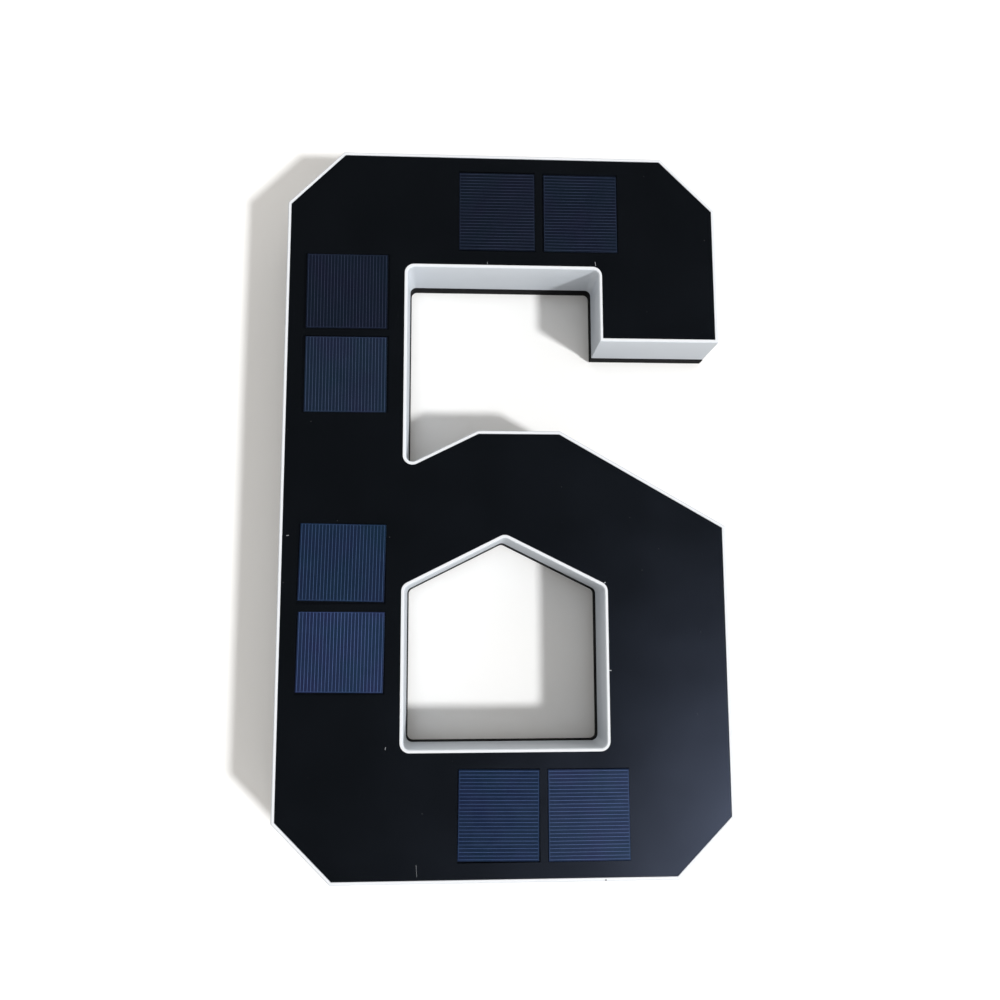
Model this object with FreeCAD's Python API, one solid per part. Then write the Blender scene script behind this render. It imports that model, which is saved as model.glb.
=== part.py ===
import FreeCAD, Part
import math
import os

from FreeCAD import Vector

# A house number: the figure six, lit from inside through its white side walls and charged by eight
# solar cells in its face. It hangs on a wall by two keyholes.
#
# Everything is drawn lying on its back: x runs to the right, y up the figure and z from the wall to
# the front. stand_up() then stands the figure up, with the middle of its back at the origin.

# ---- The figure ----
HEIGHT = 305.0
WIDTH = 185.5
STROKE = 51.5              # width of the stem, the bars, the arm and the bowl's side
CORNER_CUT = 23.5          # leg of the cut at each of the four outer corners
ARM_LENGTH = 83.5          # from the top down to the end of the arm
BOWL_HEIGHT = 182.0        # from the foot up to the bowl's flat top edge
BOWL_RISE_RUN = 30.0       # from the stem to the left end of that edge
BOWL_TOP_RUN = 34.7        # length of that edge
BOWL_RISE_SLOPE = 0.5
SHOULDER_ANGLE = 30.0      # degrees, from the bowl's flat top down to its right side
BRIDGE_HEIGHT = 45.0       # from the peak of the counter's roof up to the bowl's flat top edge
ROOF_SLOPE = 0.5
INNER_CORNER_RADIUS = 2.7  # at the inner corners of the notch and the counter

# ---- The housing, from the wall outwards ----
DEPTH = 31.0
COVER_EDGE = 5.5           # black edge of the back cover that shows under the walls
COVER_PLATE = 2.5
COVER_EDGE_CHAMFER = 0.6
TONGUE_THICKNESS = 1.5     # rib of the cover that stands inside the wall
TONGUE_RISE = 3.0
TONGUE_CLEARANCE = 0.2
WALL = 2.2
FRONT_WALL = 1.8
LIP = 1.3                  # white rim round the face panel
LIP_CHAMFER = 0.35
PANEL_THICKNESS = 1.8
PANEL_CLEARANCE = 0.15
PANEL_SET_BACK = 0.2       # the panel's face lies this far below the lip
ADHESIVE_THICKNESS = 0.2
ADHESIVE_INSET = 1.5       # from the panel's edge

# ---- Seal between cover and shell ----
GASKET_WIDTH = 1.2
GASKET_HEIGHT = 1.0
GASKET_CLEARANCE = 0.05

# ---- Cover screws and the shell's bosses ----
SCREW_RADIUS = 1.5
SCREW_LENGTH = 10.0        # under the head
SCREW_HEAD_RADIUS = 2.8
SCREW_HEAD_HEIGHT = 1.8
SCREW_SUNK = 0.4           # head below the back of the cover
CROSS_WIDTH = 0.8          # cross recess in the head
CROSS_LENGTH = 3.2
CROSS_DEPTH = 1.0
COUNTERBORE_CLEARANCE = 0.3
SHANK_CLEARANCE = 0.2
THREAD_CLEARANCE = 0.05
PILOT_SPARE = 1.5          # depth of the pilot hole past the screw's tip
BOSS_RADIUS = 3.5
BOSS_INSET = 9.5           # from the outer faces of the walls
CORNER_BOSS_INSET = 19.5
SHOULDER_BOSS_DROP = 12.5  # below the bowl's shoulder
PAD_RADIUS = 4.9
PAD_CLEARANCE = 2.5        # from the control board to the screw pad beside it
BRIDGE_BOSS_RUN = 7.95     # from the right end of the bowl's flat top to the boss under its shoulder
WEB_THICKNESS = 1.2
WEB_CLEARANCE = 0.5        # above the cover's tongue

# ---- Keyholes for the wall screws ----
KEYHOLE_SPACING = 100.0
KEYHOLE_ENTRY_RADIUS = 4.75
KEYHOLE_SLOT_WIDTH = 4.6
KEYHOLE_SLOT_RISE = 8.0
KEYHOLE_POCKET_DEPTH = 5.0
KEYHOLE_POCKET_MARGIN = 0.8 # the pocket reaches past the keyhole on every side
POCKET_WALL = 1.5

# ---- Solar cells and their wiring ----
CELL_LENGTH = 36.0         # across the stroke
CELL_WIDTH = 32.8          # along the stroke
CELL_THICKNESS = 0.8
CELL_PITCH = 36.2          # between the two cells of a pair
CELL_CLEARANCE = 0.15
BAR_PAIR_X = 108.0         # middle of the pairs on the top and base bars
UPPER_PAIR_Y = 224.0
LOWER_PAIR_Y = 108.0
PIN_SIZE = 0.8             # square pins
PIN_HOLE_CLEARANCE = 0.3
WIRE_RADIUS = 0.6
WIRE_CLEARANCE = 0.1
BUS_OFFSET = 11.0          # from the middle of the stroke
BUS_OUTER_BEND = 35.0
BUS_INNER_BEND = 14.0
BUS_TAIL = 3.0             # past the last pin
MITRED = 1                 # the kind of joint between a wire's runs
WIRE_SIDES = 6             # the wires' and the hidden shanks' round sections have flat sides
POST_SIDES = 8
ROUND_SIDES = 12           # of screw heads, their counterbores and small round pieces inside

# ---- Light strips ----
STRIP_WIDTH = 8.0
STRIP_THICKNESS = 1.2
STRIP_CORNER_GAP = 18.0    # from where two centre lines cross to a strip's end
STRIP_END_GAP = 9.0        # from a wall to a strip's end
LED_WIDTH = 2.8
LED_LENGTH = 3.5
LED_HEIGHT = 0.8
LED_PITCH = 18.0
SOLDER_OFFSET = 2.6        # of soldered leads from the middle of a strip
JUMPER_WIDTH = 4.0         # flat flexible lead between two strips
JUMPER_THICKNESS = 0.4
JUMPER_BEND = 12.0

# ---- Control board ----
BOARD_LENGTH = 48.0
BOARD_WIDTH = 26.0
BOARD_THICKNESS = 1.6
BOARD_DROP = 24.5          # from the bowl's flat top down to the middle of the board
BOARD_SCREW_INSET = 3.3
POST_RADIUS = 2.8
SMALL_SCREW_RADIUS = 1.0
SMALL_SCREW_LENGTH = 6.0
SMALL_HEAD_RADIUS = 2.0
SMALL_HEAD_HEIGHT = 1.3
CONNECTOR_WIDTH = 5.4
CONNECTOR_LENGTH = 6.0
CONNECTOR_HEIGHT = 4.4
CONNECTOR_PITCH = 6.0
CONNECTOR_WIRE_PITCH = 2.4
CHIP_LENGTH = 5.0
CHIP_WIDTH = 4.0
CHIP_HEIGHT = 1.5
INDUCTOR_SIZE = 5.0
INDUCTOR_HEIGHT = 3.0
INDUCTOR_CUT = 1.0
CAPACITOR_RADIUS = 2.5
CAPACITOR_HEIGHT = 6.0
PART_SPACING = 8.0         # between the parts on the board

# ---- Push switch and its button ----
BUTTON_OFFSET = 10.75      # to the left of the board's middle
BUTTON_TRAVEL = 1.2
BUTTON_RADIUS = 5.5
BUTTON_HEAD = 2.0
BUTTON_SUNK = 1.0          # the button's face below the back of the cover
BUTTON_CHAMFER = 0.5
BUTTON_STOP_GAP = 0.2      # left under the head when it is pressed
CUP_RADIUS = 8.0
CUP_WALL = 1.5
STEM_RADIUS = 2.6
STEM_CLEARANCE = 0.3
SEAL_RADIUS = 4.4
SEAL_THICKNESS = 1.0
PLUNGER_RADIUS = 1.6
PLUNGER_REACH = 3.0        # how far the plunger stands out of the switch
PLUNGER_DIP = 1.5          # how far it reaches into the switch at rest
SWITCH_SIZE = 8.0
SWITCH_HEIGHT = 5.0

# ---- Battery ----
BATTERY_RADIUS = 9.1
BATTERY_LENGTH = 65.0
BATTERY_CLEARANCE = 0.2
BATTERY_DROP = 49.0        # from the bowl's shoulder down to the middle of the cell
BATTERY_CAP_RADIUS = 3.0
BATTERY_CAP_HEIGHT = 1.2
HOLDER_WALL = 1.5
HOLDER_RISE = 15.0
CONTACT_THICKNESS = 0.4
CONTACT_WIDTH = 9.0
CONTACT_HEIGHT = 10.0
CONTACT_LEAF_HEIGHT = 5.0
CONTACT_GAP = 3.0          # bridged by the sprung leaf of each contact
EAR_SIZE = 8.0
EAR_THICKNESS = 2.0
EAR_HEIGHT = 8.0           # underside of the ear above the wall plane
EAR_OFFSET = 4.5
LEAD_OFFSET = 5.0          # of the leads from the middle of the holder
LEAD_GAP = 4.5             # from the holder's side to the lead beside it
LEAD_RUN = 10.0            # past the holder's end, and in front of a connector
LEAD_BEND = 4.0

# ---- Sizes and places that follow ----
COVER_SEAT = WALL + TONGUE_CLEARANCE
COVER_RIM = COVER_SEAT + TONGUE_THICKNESS
TONGUE_TOP = COVER_EDGE + TONGUE_RISE
PANEL_TOP = DEPTH - PANEL_SET_BACK
PANEL_BACK = PANEL_TOP - PANEL_THICKNESS
FRONT_FACE = PANEL_BACK - ADHESIVE_THICKNESS
FRONT_BACK = FRONT_FACE - FRONT_WALL
PANEL_INSET = LIP + PANEL_CLEARANCE
CELL_SEAT = PANEL_TOP - CELL_THICKNESS
HEAD_SEAT = SCREW_SUNK + SCREW_HEAD_HEIGHT

STEM_X = STROKE / 2
RIGHT_X = WIDTH - STROKE / 2
TOP_Y = HEIGHT - STROKE / 2
BASE_Y = STROKE / 2
MIDDLE_X = WIDTH / 2
COUNTER_HEIGHT = BOWL_HEIGHT - BRIDGE_HEIGHT
BOWL_RIGHT = STROKE + BOWL_RISE_RUN + BOWL_TOP_RUN
SHOULDER_SLOPE = math.tan(math.radians(SHOULDER_ANGLE))
SHOULDER = BOWL_HEIGHT - (WIDTH - BOWL_RIGHT) * SHOULDER_SLOPE
BOARD_Y = BOWL_HEIGHT - BOARD_DROP
BATTERY_Y = SHOULDER - BATTERY_DROP

WIRE_LEVEL = FRONT_BACK - WIRE_RADIUS - WIRE_CLEARANCE
STRIP_BACK = FRONT_BACK - STRIP_THICKNESS

CUP_FLOOR = BUTTON_SUNK + BUTTON_HEAD + BUTTON_TRAVEL + BUTTON_STOP_GAP
CUP_TOP = CUP_FLOOR + CUP_WALL
STEM_TOP = CUP_TOP + SEAL_THICKNESS + BUTTON_STOP_GAP
SWITCH_FACE = STEM_TOP + PLUNGER_REACH - PLUNGER_DIP
BOARD_BACK = SWITCH_FACE + SWITCH_HEIGHT
BOARD_FACE = BOARD_BACK + BOARD_THICKNESS
CONNECTOR_LEVEL = BOARD_FACE + CONNECTOR_HEIGHT / 2
BRIDGE_BOSS_X = BOWL_RIGHT + BRIDGE_BOSS_RUN
BOARD_RIGHT = BRIDGE_BOSS_X - PAD_RADIUS - PAD_CLEARANCE
BOARD_X = BOARD_RIGHT - BOARD_LENGTH / 2
BUTTON_X = BOARD_X - BUTTON_OFFSET

CRADLE_RADIUS = BATTERY_RADIUS + BATTERY_CLEARANCE
BATTERY_LEVEL = COVER_PLATE + HOLDER_WALL + CRADLE_RADIUS
HOLDER_HALF_WIDTH = CRADLE_RADIUS + HOLDER_WALL
HOLDER_HALF_LENGTH = BATTERY_LENGTH / 2 + CONTACT_GAP + HOLDER_WALL
CELL_END = BATTERY_LENGTH / 2


# ---- Outlines ----

def figure_corners():
    """Corners of the outer outline, anticlockwise, so that the material lies to the left."""
    notch_floor = BOWL_HEIGHT - BOWL_RISE_RUN * BOWL_RISE_SLOPE
    notch_top = HEIGHT - STROKE
    arm_end = HEIGHT - ARM_LENGTH
    arm_left = WIDTH - STROKE
    return [
        Vector(CORNER_CUT, 0),
        Vector(WIDTH - CORNER_CUT, 0),
        Vector(WIDTH, CORNER_CUT),
        Vector(WIDTH, SHOULDER),
        Vector(BOWL_RIGHT, BOWL_HEIGHT),
        Vector(STROKE + BOWL_RISE_RUN, BOWL_HEIGHT),
        Vector(STROKE, notch_floor),
        Vector(STROKE, notch_top),
        Vector(arm_left, notch_top),
        Vector(arm_left, arm_end),
        Vector(WIDTH, arm_end),
        Vector(WIDTH, HEIGHT - CORNER_CUT),
        Vector(WIDTH - CORNER_CUT, HEIGHT),
        Vector(CORNER_CUT, HEIGHT),
        Vector(0, HEIGHT - CORNER_CUT),
        Vector(0, CORNER_CUT),
    ]


def counter_corners():
    """Corners of the counter, clockwise, so that the material lies to the left here too."""
    right = WIDTH - STROKE
    eaves = COUNTER_HEIGHT - (MIDDLE_X - STROKE) * ROOF_SLOPE
    return [
        Vector(STROKE, STROKE),
        Vector(STROKE, eaves),
        Vector(MIDDLE_X, COUNTER_HEIGHT),
        Vector(right, eaves),
        Vector(right, STROKE),
    ]


def direction(start, end):
    return (end - start).normalize()


def turn(before, after):
    """Positive where the outline turns left, negative where it turns right."""
    return before.x * after.y - before.y * after.x


def inset_corners(corners, inset):
    """The corners after every side has moved into the material."""
    moved = []
    for index, corner in enumerate(corners):
        before = direction(corners[index - 1], corner)
        after = direction(corner, corners[(index + 1) % len(corners)])
        side_before = corner + Vector(-before.y, before.x) * inset
        side_after = corner + Vector(-after.y, after.x) * inset
        reach = turn(side_after - side_before, after) / turn(before, after)
        moved.append(side_before + before * reach)
    return moved


def bend_points(before, corner, after, radius):
    """Start, middle and end of the arc that rounds a corner."""
    to_before = direction(corner, before)
    to_after = direction(corner, after)
    half_turn = (math.pi - to_before.getAngle(to_after)) / 2
    tangent = radius * math.tan(half_turn)
    middle_way = (to_before + to_after).normalize()
    middle = corner + middle_way * (radius / math.cos(half_turn) - radius)
    return corner + to_before * tangent, middle, corner + to_after * tangent


def outline_wire(corners, inner_radius):
    """A closed outline whose inner corners are round and whose outer corners are sharp."""
    edges = []
    ends = []
    for index, corner in enumerate(corners):
        previous = corners[index - 1]
        following = corners[(index + 1) % len(corners)]
        if turn(direction(previous, corner), direction(corner, following)) < 0:
            start, middle, end = bend_points(previous, corner, following, inner_radius)
            edges.append(Part.Arc(start, middle, end).toShape())
        else:
            start = end = corner
        ends.append((start, end))
    for index, (start, end) in enumerate(ends):
        following_start = ends[(index + 1) % len(ends)][0]
        edges.append(Part.LineSegment(end, following_start).toShape())
    return Part.Wire(Part.__sortEdges__(edges))


def figure_slab(inset, low, high):
    """The figure with every wall drawn in by inset, from one level to another."""
    radius = INNER_CORNER_RADIUS + inset
    outside = Part.Face(outline_wire(inset_corners(figure_corners(), inset), radius))
    counter = Part.Face(outline_wire(inset_corners(counter_corners(), inset), radius))
    face = outside.cut(counter)
    face.translate(Vector(0, 0, low))
    return face.extrude(Vector(0, 0, high - low)).Solids[0]


def figure_ring(outer_inset, inner_inset, low, high):
    """A band that follows the outer outline and the counter."""
    return figure_slab(outer_inset, low, high).cut(figure_slab(inner_inset, low, high))


# ---- Simple forms ----

def block(x, y, length, width, low, high):
    corner = Vector(x - length / 2, y - width / 2, low)
    return Part.makeBox(length, width, high - low, corner)


def rod(x, y, radius, low, high):
    return Part.makeCylinder(radius, high - low, Vector(x, y, low))


def post(x, y, radius, low, high, sides=POST_SIDES):
    """An upright post with flat sides: hidden bosses, shanks and bores have few faces."""
    angles = [math.tau * (side + 0.5) / sides for side in range(sides + 1)]
    rim = [Vector(x + radius * math.cos(angle), y + radius * math.sin(angle), low) for angle in angles]
    return Part.Face(Part.makePolygon(rim)).extrude(Vector(0, 0, high - low))


def pin_hole(pin, low, high):
    size = PIN_SIZE + 2 * PIN_HOLE_CLEARANCE
    return block(pin.x, pin.y, size, size, low, high)


def wire_path(points, bend):
    """Straight runs with each bend taken in two short chords of its arc."""
    route = [points[0]]
    for previous, corner, following in zip(points, points[1:], points[2:]):
        route += bend_points(previous, corner, following, bend)
    return Part.makePolygon(route + points[-1:])


def wire_tube(points, bend):
    """A wire of even thickness along a bent path, with its joints mitred."""
    along = direction(points[0], points[1])
    upright = abs(along.z) > max(abs(along.x), abs(along.y))
    across = Vector(1, 0, 0) if upright else along.cross(Vector(0, 0, 1)).normalize()
    upward = across.cross(along)
    rim = []
    for side in range(WIRE_SIDES + 1):
        angle = math.tau * side / WIRE_SIDES
        rim.append(points[0] + (across * math.cos(angle) + upward * math.sin(angle)) * WIRE_RADIUS)
    return wire_path(points, bend).makePipeShell([Part.makePolygon(rim)], True, False, MITRED)


def chamfer_outline(solid, level, size):
    """Chamfer the edges of the outer outline and the counter that lie at one level."""
    edges = []
    for edge in solid.Edges:
        box = edge.BoundBox
        if abs(box.ZMin - level) < size / 2 and abs(box.ZMax - level) < size / 2:
            edges.append(edge)
    return solid.makeChamfer(size, edges)


# ---- Where things go ----

def boss_places():
    """Middle of each boss, and the way from it to the nearest wall."""
    right = WIDTH - BOSS_INSET
    far_right = WIDTH - CORNER_BOSS_INSET
    far_top = HEIGHT - CORNER_BOSS_INSET
    slope = math.radians(SHOULDER_ANGLE)
    bridge_y = BOWL_HEIGHT - BRIDGE_BOSS_RUN * SHOULDER_SLOPE - BOSS_INSET / math.cos(slope)
    return [
        (Vector(CORNER_BOSS_INSET, CORNER_BOSS_INSET), Vector(-1, -1)),
        (Vector(far_right, CORNER_BOSS_INSET), Vector(1, -1)),
        (Vector(CORNER_BOSS_INSET, far_top), Vector(-1, 1)),
        (Vector(far_right, far_top), Vector(1, 1)),
        (Vector(MIDDLE_X, BOSS_INSET), Vector(0, -1)),
        (Vector(MIDDLE_X, HEIGHT - BOSS_INSET), Vector(0, 1)),
        (Vector(BOSS_INSET, (UPPER_PAIR_Y + LOWER_PAIR_Y) / 2), Vector(-1, 0)),
        (Vector(right, HEIGHT - ARM_LENGTH + BOSS_INSET), Vector(1, 0)),
        (Vector(right, SHOULDER - SHOULDER_BOSS_DROP), Vector(1, 0)),
        (Vector(BRIDGE_BOSS_X, bridge_y), Vector(math.sin(slope), math.cos(slope))),
    ]


def cell_places():
    """Name, middle, and the way along the stroke of each cell."""
    half = CELL_PITCH / 2
    along_bar = Vector(1, 0)
    along_stem = Vector(0, 1)
    return [
        ("solar_cell_top_left", Vector(BAR_PAIR_X - half, TOP_Y), along_bar),
        ("solar_cell_top_right", Vector(BAR_PAIR_X + half, TOP_Y), along_bar),
        ("solar_cell_stem_upper_1", Vector(STEM_X, UPPER_PAIR_Y + half), along_stem),
        ("solar_cell_stem_upper_2", Vector(STEM_X, UPPER_PAIR_Y - half), along_stem),
        ("solar_cell_stem_lower_1", Vector(STEM_X, LOWER_PAIR_Y + half), along_stem),
        ("solar_cell_stem_lower_2", Vector(STEM_X, LOWER_PAIR_Y - half), along_stem),
        ("solar_cell_base_left", Vector(BAR_PAIR_X - half, BASE_Y), along_bar),
        ("solar_cell_base_right", Vector(BAR_PAIR_X + half, BASE_Y), along_bar),
    ]


def pin_places():
    """Two pins for each cell, one over each bus wire."""
    places = []
    for name, middle, along in cell_places():
        across = Vector(along.y, along.x)
        places.append(middle + across * BUS_OFFSET)
        places.append(middle - across * BUS_OFFSET)
    return places


def strip_runs():
    """Name, start and end of each light strip."""
    arm_low = HEIGHT - ARM_LENGTH + STRIP_END_GAP
    bowl_high = BATTERY_Y + CELL_END
    left = STEM_X + STRIP_CORNER_GAP
    right = RIGHT_X - STRIP_CORNER_GAP
    low = BASE_Y + STRIP_CORNER_GAP
    high = TOP_Y - STRIP_CORNER_GAP
    bridge_left = STROKE + STRIP_END_GAP
    return [
        ("led_strip_stem", Vector(STEM_X, low), Vector(STEM_X, high)),
        ("led_strip_top", Vector(left, TOP_Y), Vector(right, TOP_Y)),
        ("led_strip_arm", Vector(RIGHT_X, arm_low), Vector(RIGHT_X, high)),
        ("led_strip_bridge", Vector(bridge_left, BOARD_Y), Vector(BOARD_RIGHT, BOARD_Y)),
        ("led_strip_bowl", Vector(RIGHT_X, low), Vector(RIGHT_X, bowl_high)),
        ("led_strip_base", Vector(left, BASE_Y), Vector(right, BASE_Y)),
    ]


def board_screw_places():
    """Two opposite corners of the control board."""
    across = BOARD_LENGTH / 2 - BOARD_SCREW_INSET
    up = BOARD_WIDTH / 2 - BOARD_SCREW_INSET
    return [Vector(BOARD_X + side * across, BOARD_Y + side * up) for side in (-1, 1)]


def ear_places():
    reach = HOLDER_HALF_LENGTH + EAR_SIZE / 2
    return [Vector(RIGHT_X + EAR_OFFSET, BATTERY_Y + end * reach) for end in (-1, 1)]


def keyhole_places():
    return [Vector(MIDDLE_X + side * KEYHOLE_SPACING / 2, TOP_Y) for side in (-1, 1)]


# ---- Shell ----

def make_housing_shell():
    """White shell: walls all round, a front wall behind the panel, a lip, bosses and webs."""
    shell = figure_slab(0, COVER_EDGE, DEPTH)
    shell = chamfer_outline(shell, DEPTH, LIP_CHAMFER)
    shell = shell.cut(figure_slab(WALL, COVER_EDGE, FRONT_BACK))
    shell = shell.cut(figure_slab(LIP, FRONT_FACE, DEPTH))
    inside = figure_slab(WALL / 2, COVER_EDGE, FRONT_BACK)
    for middle, wall_way in boss_places():
        boss = post(middle.x, middle.y, BOSS_RADIUS, COVER_EDGE, FRONT_BACK)
        web_low = TONGUE_TOP + WEB_CLEARANCE
        web = Part.makeBox(CORNER_BOSS_INSET, WEB_THICKNESS, FRONT_BACK - web_low)
        web.translate(Vector(0, -WEB_THICKNESS / 2, web_low))
        web.rotate(Vector(), Vector(0, 0, 1), math.degrees(math.atan2(wall_way.y, wall_way.x)))
        web.translate(middle)
        shell = shell.fuse([boss, web.common(inside)])
    pilot_top = HEAD_SEAT + SCREW_LENGTH + PILOT_SPARE
    for middle, wall_way in boss_places():
        shell = shell.cut(post(middle.x, middle.y, SCREW_RADIUS + THREAD_CLEARANCE, COVER_EDGE, pilot_top))
    shell = shell.cut([pin_hole(pin, FRONT_BACK, FRONT_FACE) for pin in pin_places()])
    return shell.removeSplitter()


# ---- Face ----

def make_face_panel():
    """Black face panel with a pocket for each cell and holes for its pins."""
    panel = figure_slab(PANEL_INSET, PANEL_BACK, PANEL_TOP)
    for name, middle, along in cell_places():
        size = cell_size(along) + Vector(2 * CELL_CLEARANCE, 2 * CELL_CLEARANCE)
        panel = panel.cut(block(middle.x, middle.y, size.x, size.y, CELL_SEAT, PANEL_TOP))
    return panel.cut([pin_hole(pin, PANEL_BACK, CELL_SEAT) for pin in pin_places()])


def cell_size(along):
    across = Vector(along.y, along.x)
    return along * CELL_WIDTH + across * CELL_LENGTH


def make_panel_adhesive():
    film = figure_slab(PANEL_INSET + ADHESIVE_INSET, FRONT_FACE, PANEL_BACK)
    return film.cut([pin_hole(pin, FRONT_FACE, PANEL_BACK) for pin in pin_places()])


def make_cells():
    cells = {}
    for name, middle, along in cell_places():
        size = cell_size(along)
        cells[name] = block(middle.x, middle.y, size.x, size.y, CELL_SEAT, PANEL_TOP)
    return cells


def make_cell_pins():
    """Solder pins from each cell through the panel and the front wall to the bus wires."""
    low = WIRE_LEVEL + WIRE_RADIUS
    pins = [block(pin.x, pin.y, PIN_SIZE, PIN_SIZE, low, CELL_SEAT) for pin in pin_places()]
    return Part.makeCompound(pins)


def make_bus(offset, bend):
    """Wire along the top bar, down the stem and along the base bar, under one row of pins."""
    end = BAR_PAIR_X + CELL_PITCH / 2 + BUS_TAIL
    route = [
        Vector(end, TOP_Y + offset, WIRE_LEVEL),
        Vector(STEM_X - offset, TOP_Y + offset, WIRE_LEVEL),
        Vector(STEM_X - offset, BASE_Y - offset, WIRE_LEVEL),
        Vector(end, BASE_Y - offset, WIRE_LEVEL),
    ]
    return wire_tube(route, bend)


def connector_wires(side, row):
    """The two points where wires enter a connector. side is -1 at the left end of the board."""
    x = BOARD_X + side * BOARD_LENGTH / 2
    y = BOARD_Y + row * CONNECTOR_PITCH / 2
    half = CONNECTOR_WIRE_PITCH / 2
    return [Vector(x, y - half, CONNECTOR_LEVEL), Vector(x, y + half, CONNECTOR_LEVEL)]


def make_panel_leads():
    """From the two bus wires in the stem to the lower left connector."""
    leads = []
    top = WIRE_LEVEL - 2 * WIRE_RADIUS - WIRE_CLEARANCE
    for start_x, mouth in zip((STEM_X - BUS_OFFSET, STEM_X + BUS_OFFSET), connector_wires(-1, -1)):
        start = Vector(start_x, mouth.y, top)
        drop = Vector(start_x, mouth.y, CONNECTOR_LEVEL)
        leads.append(wire_tube([start, drop, mouth], LEAD_BEND))
    return Part.makeCompound(leads)


# ---- Light strips ----

def make_strips():
    strips = {}
    for name, start, end in strip_runs():
        middle = (start + end) / 2
        size = end - start
        length = max(size.x, STRIP_WIDTH)
        width = max(size.y, STRIP_WIDTH)
        strips[name] = block(middle.x, middle.y, length, width, STRIP_BACK, FRONT_BACK)
    return strips


def make_led_packages():
    """LEDs at an even pitch along the middle of each strip."""
    packages = []
    for name, start, end in strip_runs():
        run = (end - start).Length
        along = direction(start, end)
        count = int(run / LED_PITCH)
        size = along * LED_LENGTH + Vector(along.y, along.x) * LED_WIDTH
        for index in range(count):
            middle = (start + end) / 2 + along * LED_PITCH * (index - (count - 1) / 2)
            packages.append(block(middle.x, middle.y, size.x, size.y, STRIP_BACK - LED_HEIGHT, STRIP_BACK))
    return Part.makeCompound(packages)


def make_led_jumpers():
    """A flat flexible lead round each corner, from one strip's end to the next."""
    jumpers = []
    for x, to_middle in ((STEM_X, 1), (RIGHT_X, -1)):
        for y, to_centre in ((TOP_Y, -1), (BASE_Y, 1)):
            corner = Vector(x, y, FRONT_BACK)
            upright_end = corner + Vector(0, to_centre * STRIP_CORNER_GAP, 0)
            level_end = corner + Vector(to_middle * STRIP_CORNER_GAP, 0, 0)
            half = Vector(JUMPER_WIDTH / 2, 0, 0)
            drop = Vector(0, 0, -JUMPER_THICKNESS)
            near = upright_end - half
            far = upright_end + half
            rim = [near, far, far + drop, near + drop]
            section = Part.makePolygon(rim + rim[:1])
            path = wire_path([upright_end, corner, level_end], JUMPER_BEND)
            jumpers.append(path.makePipeShell([section], True, False, MITRED))
    return Part.makeCompound(jumpers)


def make_led_leads():
    """From the upper left connector to the stem strip."""
    leads = []
    for mouth in connector_wires(-1, 1):
        bend = Vector(STEM_X + SOLDER_OFFSET, mouth.y, CONNECTOR_LEVEL)
        end = Vector(STEM_X + SOLDER_OFFSET, mouth.y, STRIP_BACK)
        leads.append(wire_tube([mouth, bend, end], LEAD_BEND))
    return Part.makeCompound(leads)


# ---- Control board ----

def make_control_board():
    board = block(BOARD_X, BOARD_Y, BOARD_LENGTH, BOARD_WIDTH, BOARD_BACK, BOARD_FACE)
    for hole in board_screw_places():
        board = board.cut(post(hole.x, hole.y, SMALL_SCREW_RADIUS + SHANK_CLEARANCE, BOARD_BACK, BOARD_FACE))
    return board


def small_screw(middle, seat):
    """A plain screw inside the housing, driven from the front."""
    head = post(middle.x, middle.y, SMALL_HEAD_RADIUS, seat, seat + SMALL_HEAD_HEIGHT)
    shank = post(middle.x, middle.y, SMALL_SCREW_RADIUS, seat - SMALL_SCREW_LENGTH, seat)
    return head.fuse(shank).removeSplitter()


def make_board_screws():
    return Part.makeCompound([small_screw(hole, BOARD_FACE) for hole in board_screw_places()])


def make_controller_chip():
    return block(BOARD_X, BOARD_Y, CHIP_LENGTH, CHIP_WIDTH, BOARD_FACE, BOARD_FACE + CHIP_HEIGHT)


def make_inductor():
    x = BOARD_X + PART_SPACING
    body = block(x, BOARD_Y, INDUCTOR_SIZE, INDUCTOR_SIZE, BOARD_FACE, BOARD_FACE + INDUCTOR_HEIGHT)
    upright = [edge for edge in body.Edges if edge.BoundBox.ZLength > INDUCTOR_HEIGHT / 2]
    return body.makeChamfer(INDUCTOR_CUT, upright)


def make_capacitors():
    high = BOARD_FACE + CAPACITOR_HEIGHT
    x = BOARD_X - PART_SPACING
    cans = []
    for row in (-PART_SPACING, PART_SPACING):
        cans.append(post(x, BOARD_Y + row, CAPACITOR_RADIUS, BOARD_FACE, high, ROUND_SIDES))
    return Part.makeCompound(cans)


def make_board_connectors():
    """Two wire connectors at the left end of the board and one at the right."""
    connectors = []
    for side, row in ((-1, -1), (-1, 1), (1, 0)):
        x = BOARD_X + side * (BOARD_LENGTH - CONNECTOR_LENGTH) / 2
        y = BOARD_Y + row * CONNECTOR_PITCH / 2
        high = BOARD_FACE + CONNECTOR_HEIGHT
        connectors.append(block(x, y, CONNECTOR_LENGTH, CONNECTOR_WIDTH, BOARD_FACE, high))
    return Part.makeCompound(connectors)


# ---- Push switch and its button ----

def make_button_cap():
    """Round button with a stem that passes through the cover to the switch."""
    head = rod(BUTTON_X, BOARD_Y, BUTTON_RADIUS, BUTTON_SUNK, BUTTON_SUNK + BUTTON_HEAD)
    rear_edge = [edge for edge in head.Edges if edge.BoundBox.ZMax < BUTTON_SUNK + BUTTON_HEAD / 2]
    head = head.makeChamfer(BUTTON_CHAMFER, rear_edge)
    stem = post(BUTTON_X, BOARD_Y, STEM_RADIUS, BUTTON_SUNK + BUTTON_HEAD, STEM_TOP, ROUND_SIDES)
    return head.fuse(stem).removeSplitter()


def make_switch_plunger():
    return post(BUTTON_X, BOARD_Y, PLUNGER_RADIUS, STEM_TOP, STEM_TOP + PLUNGER_REACH, ROUND_SIDES)


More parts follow.
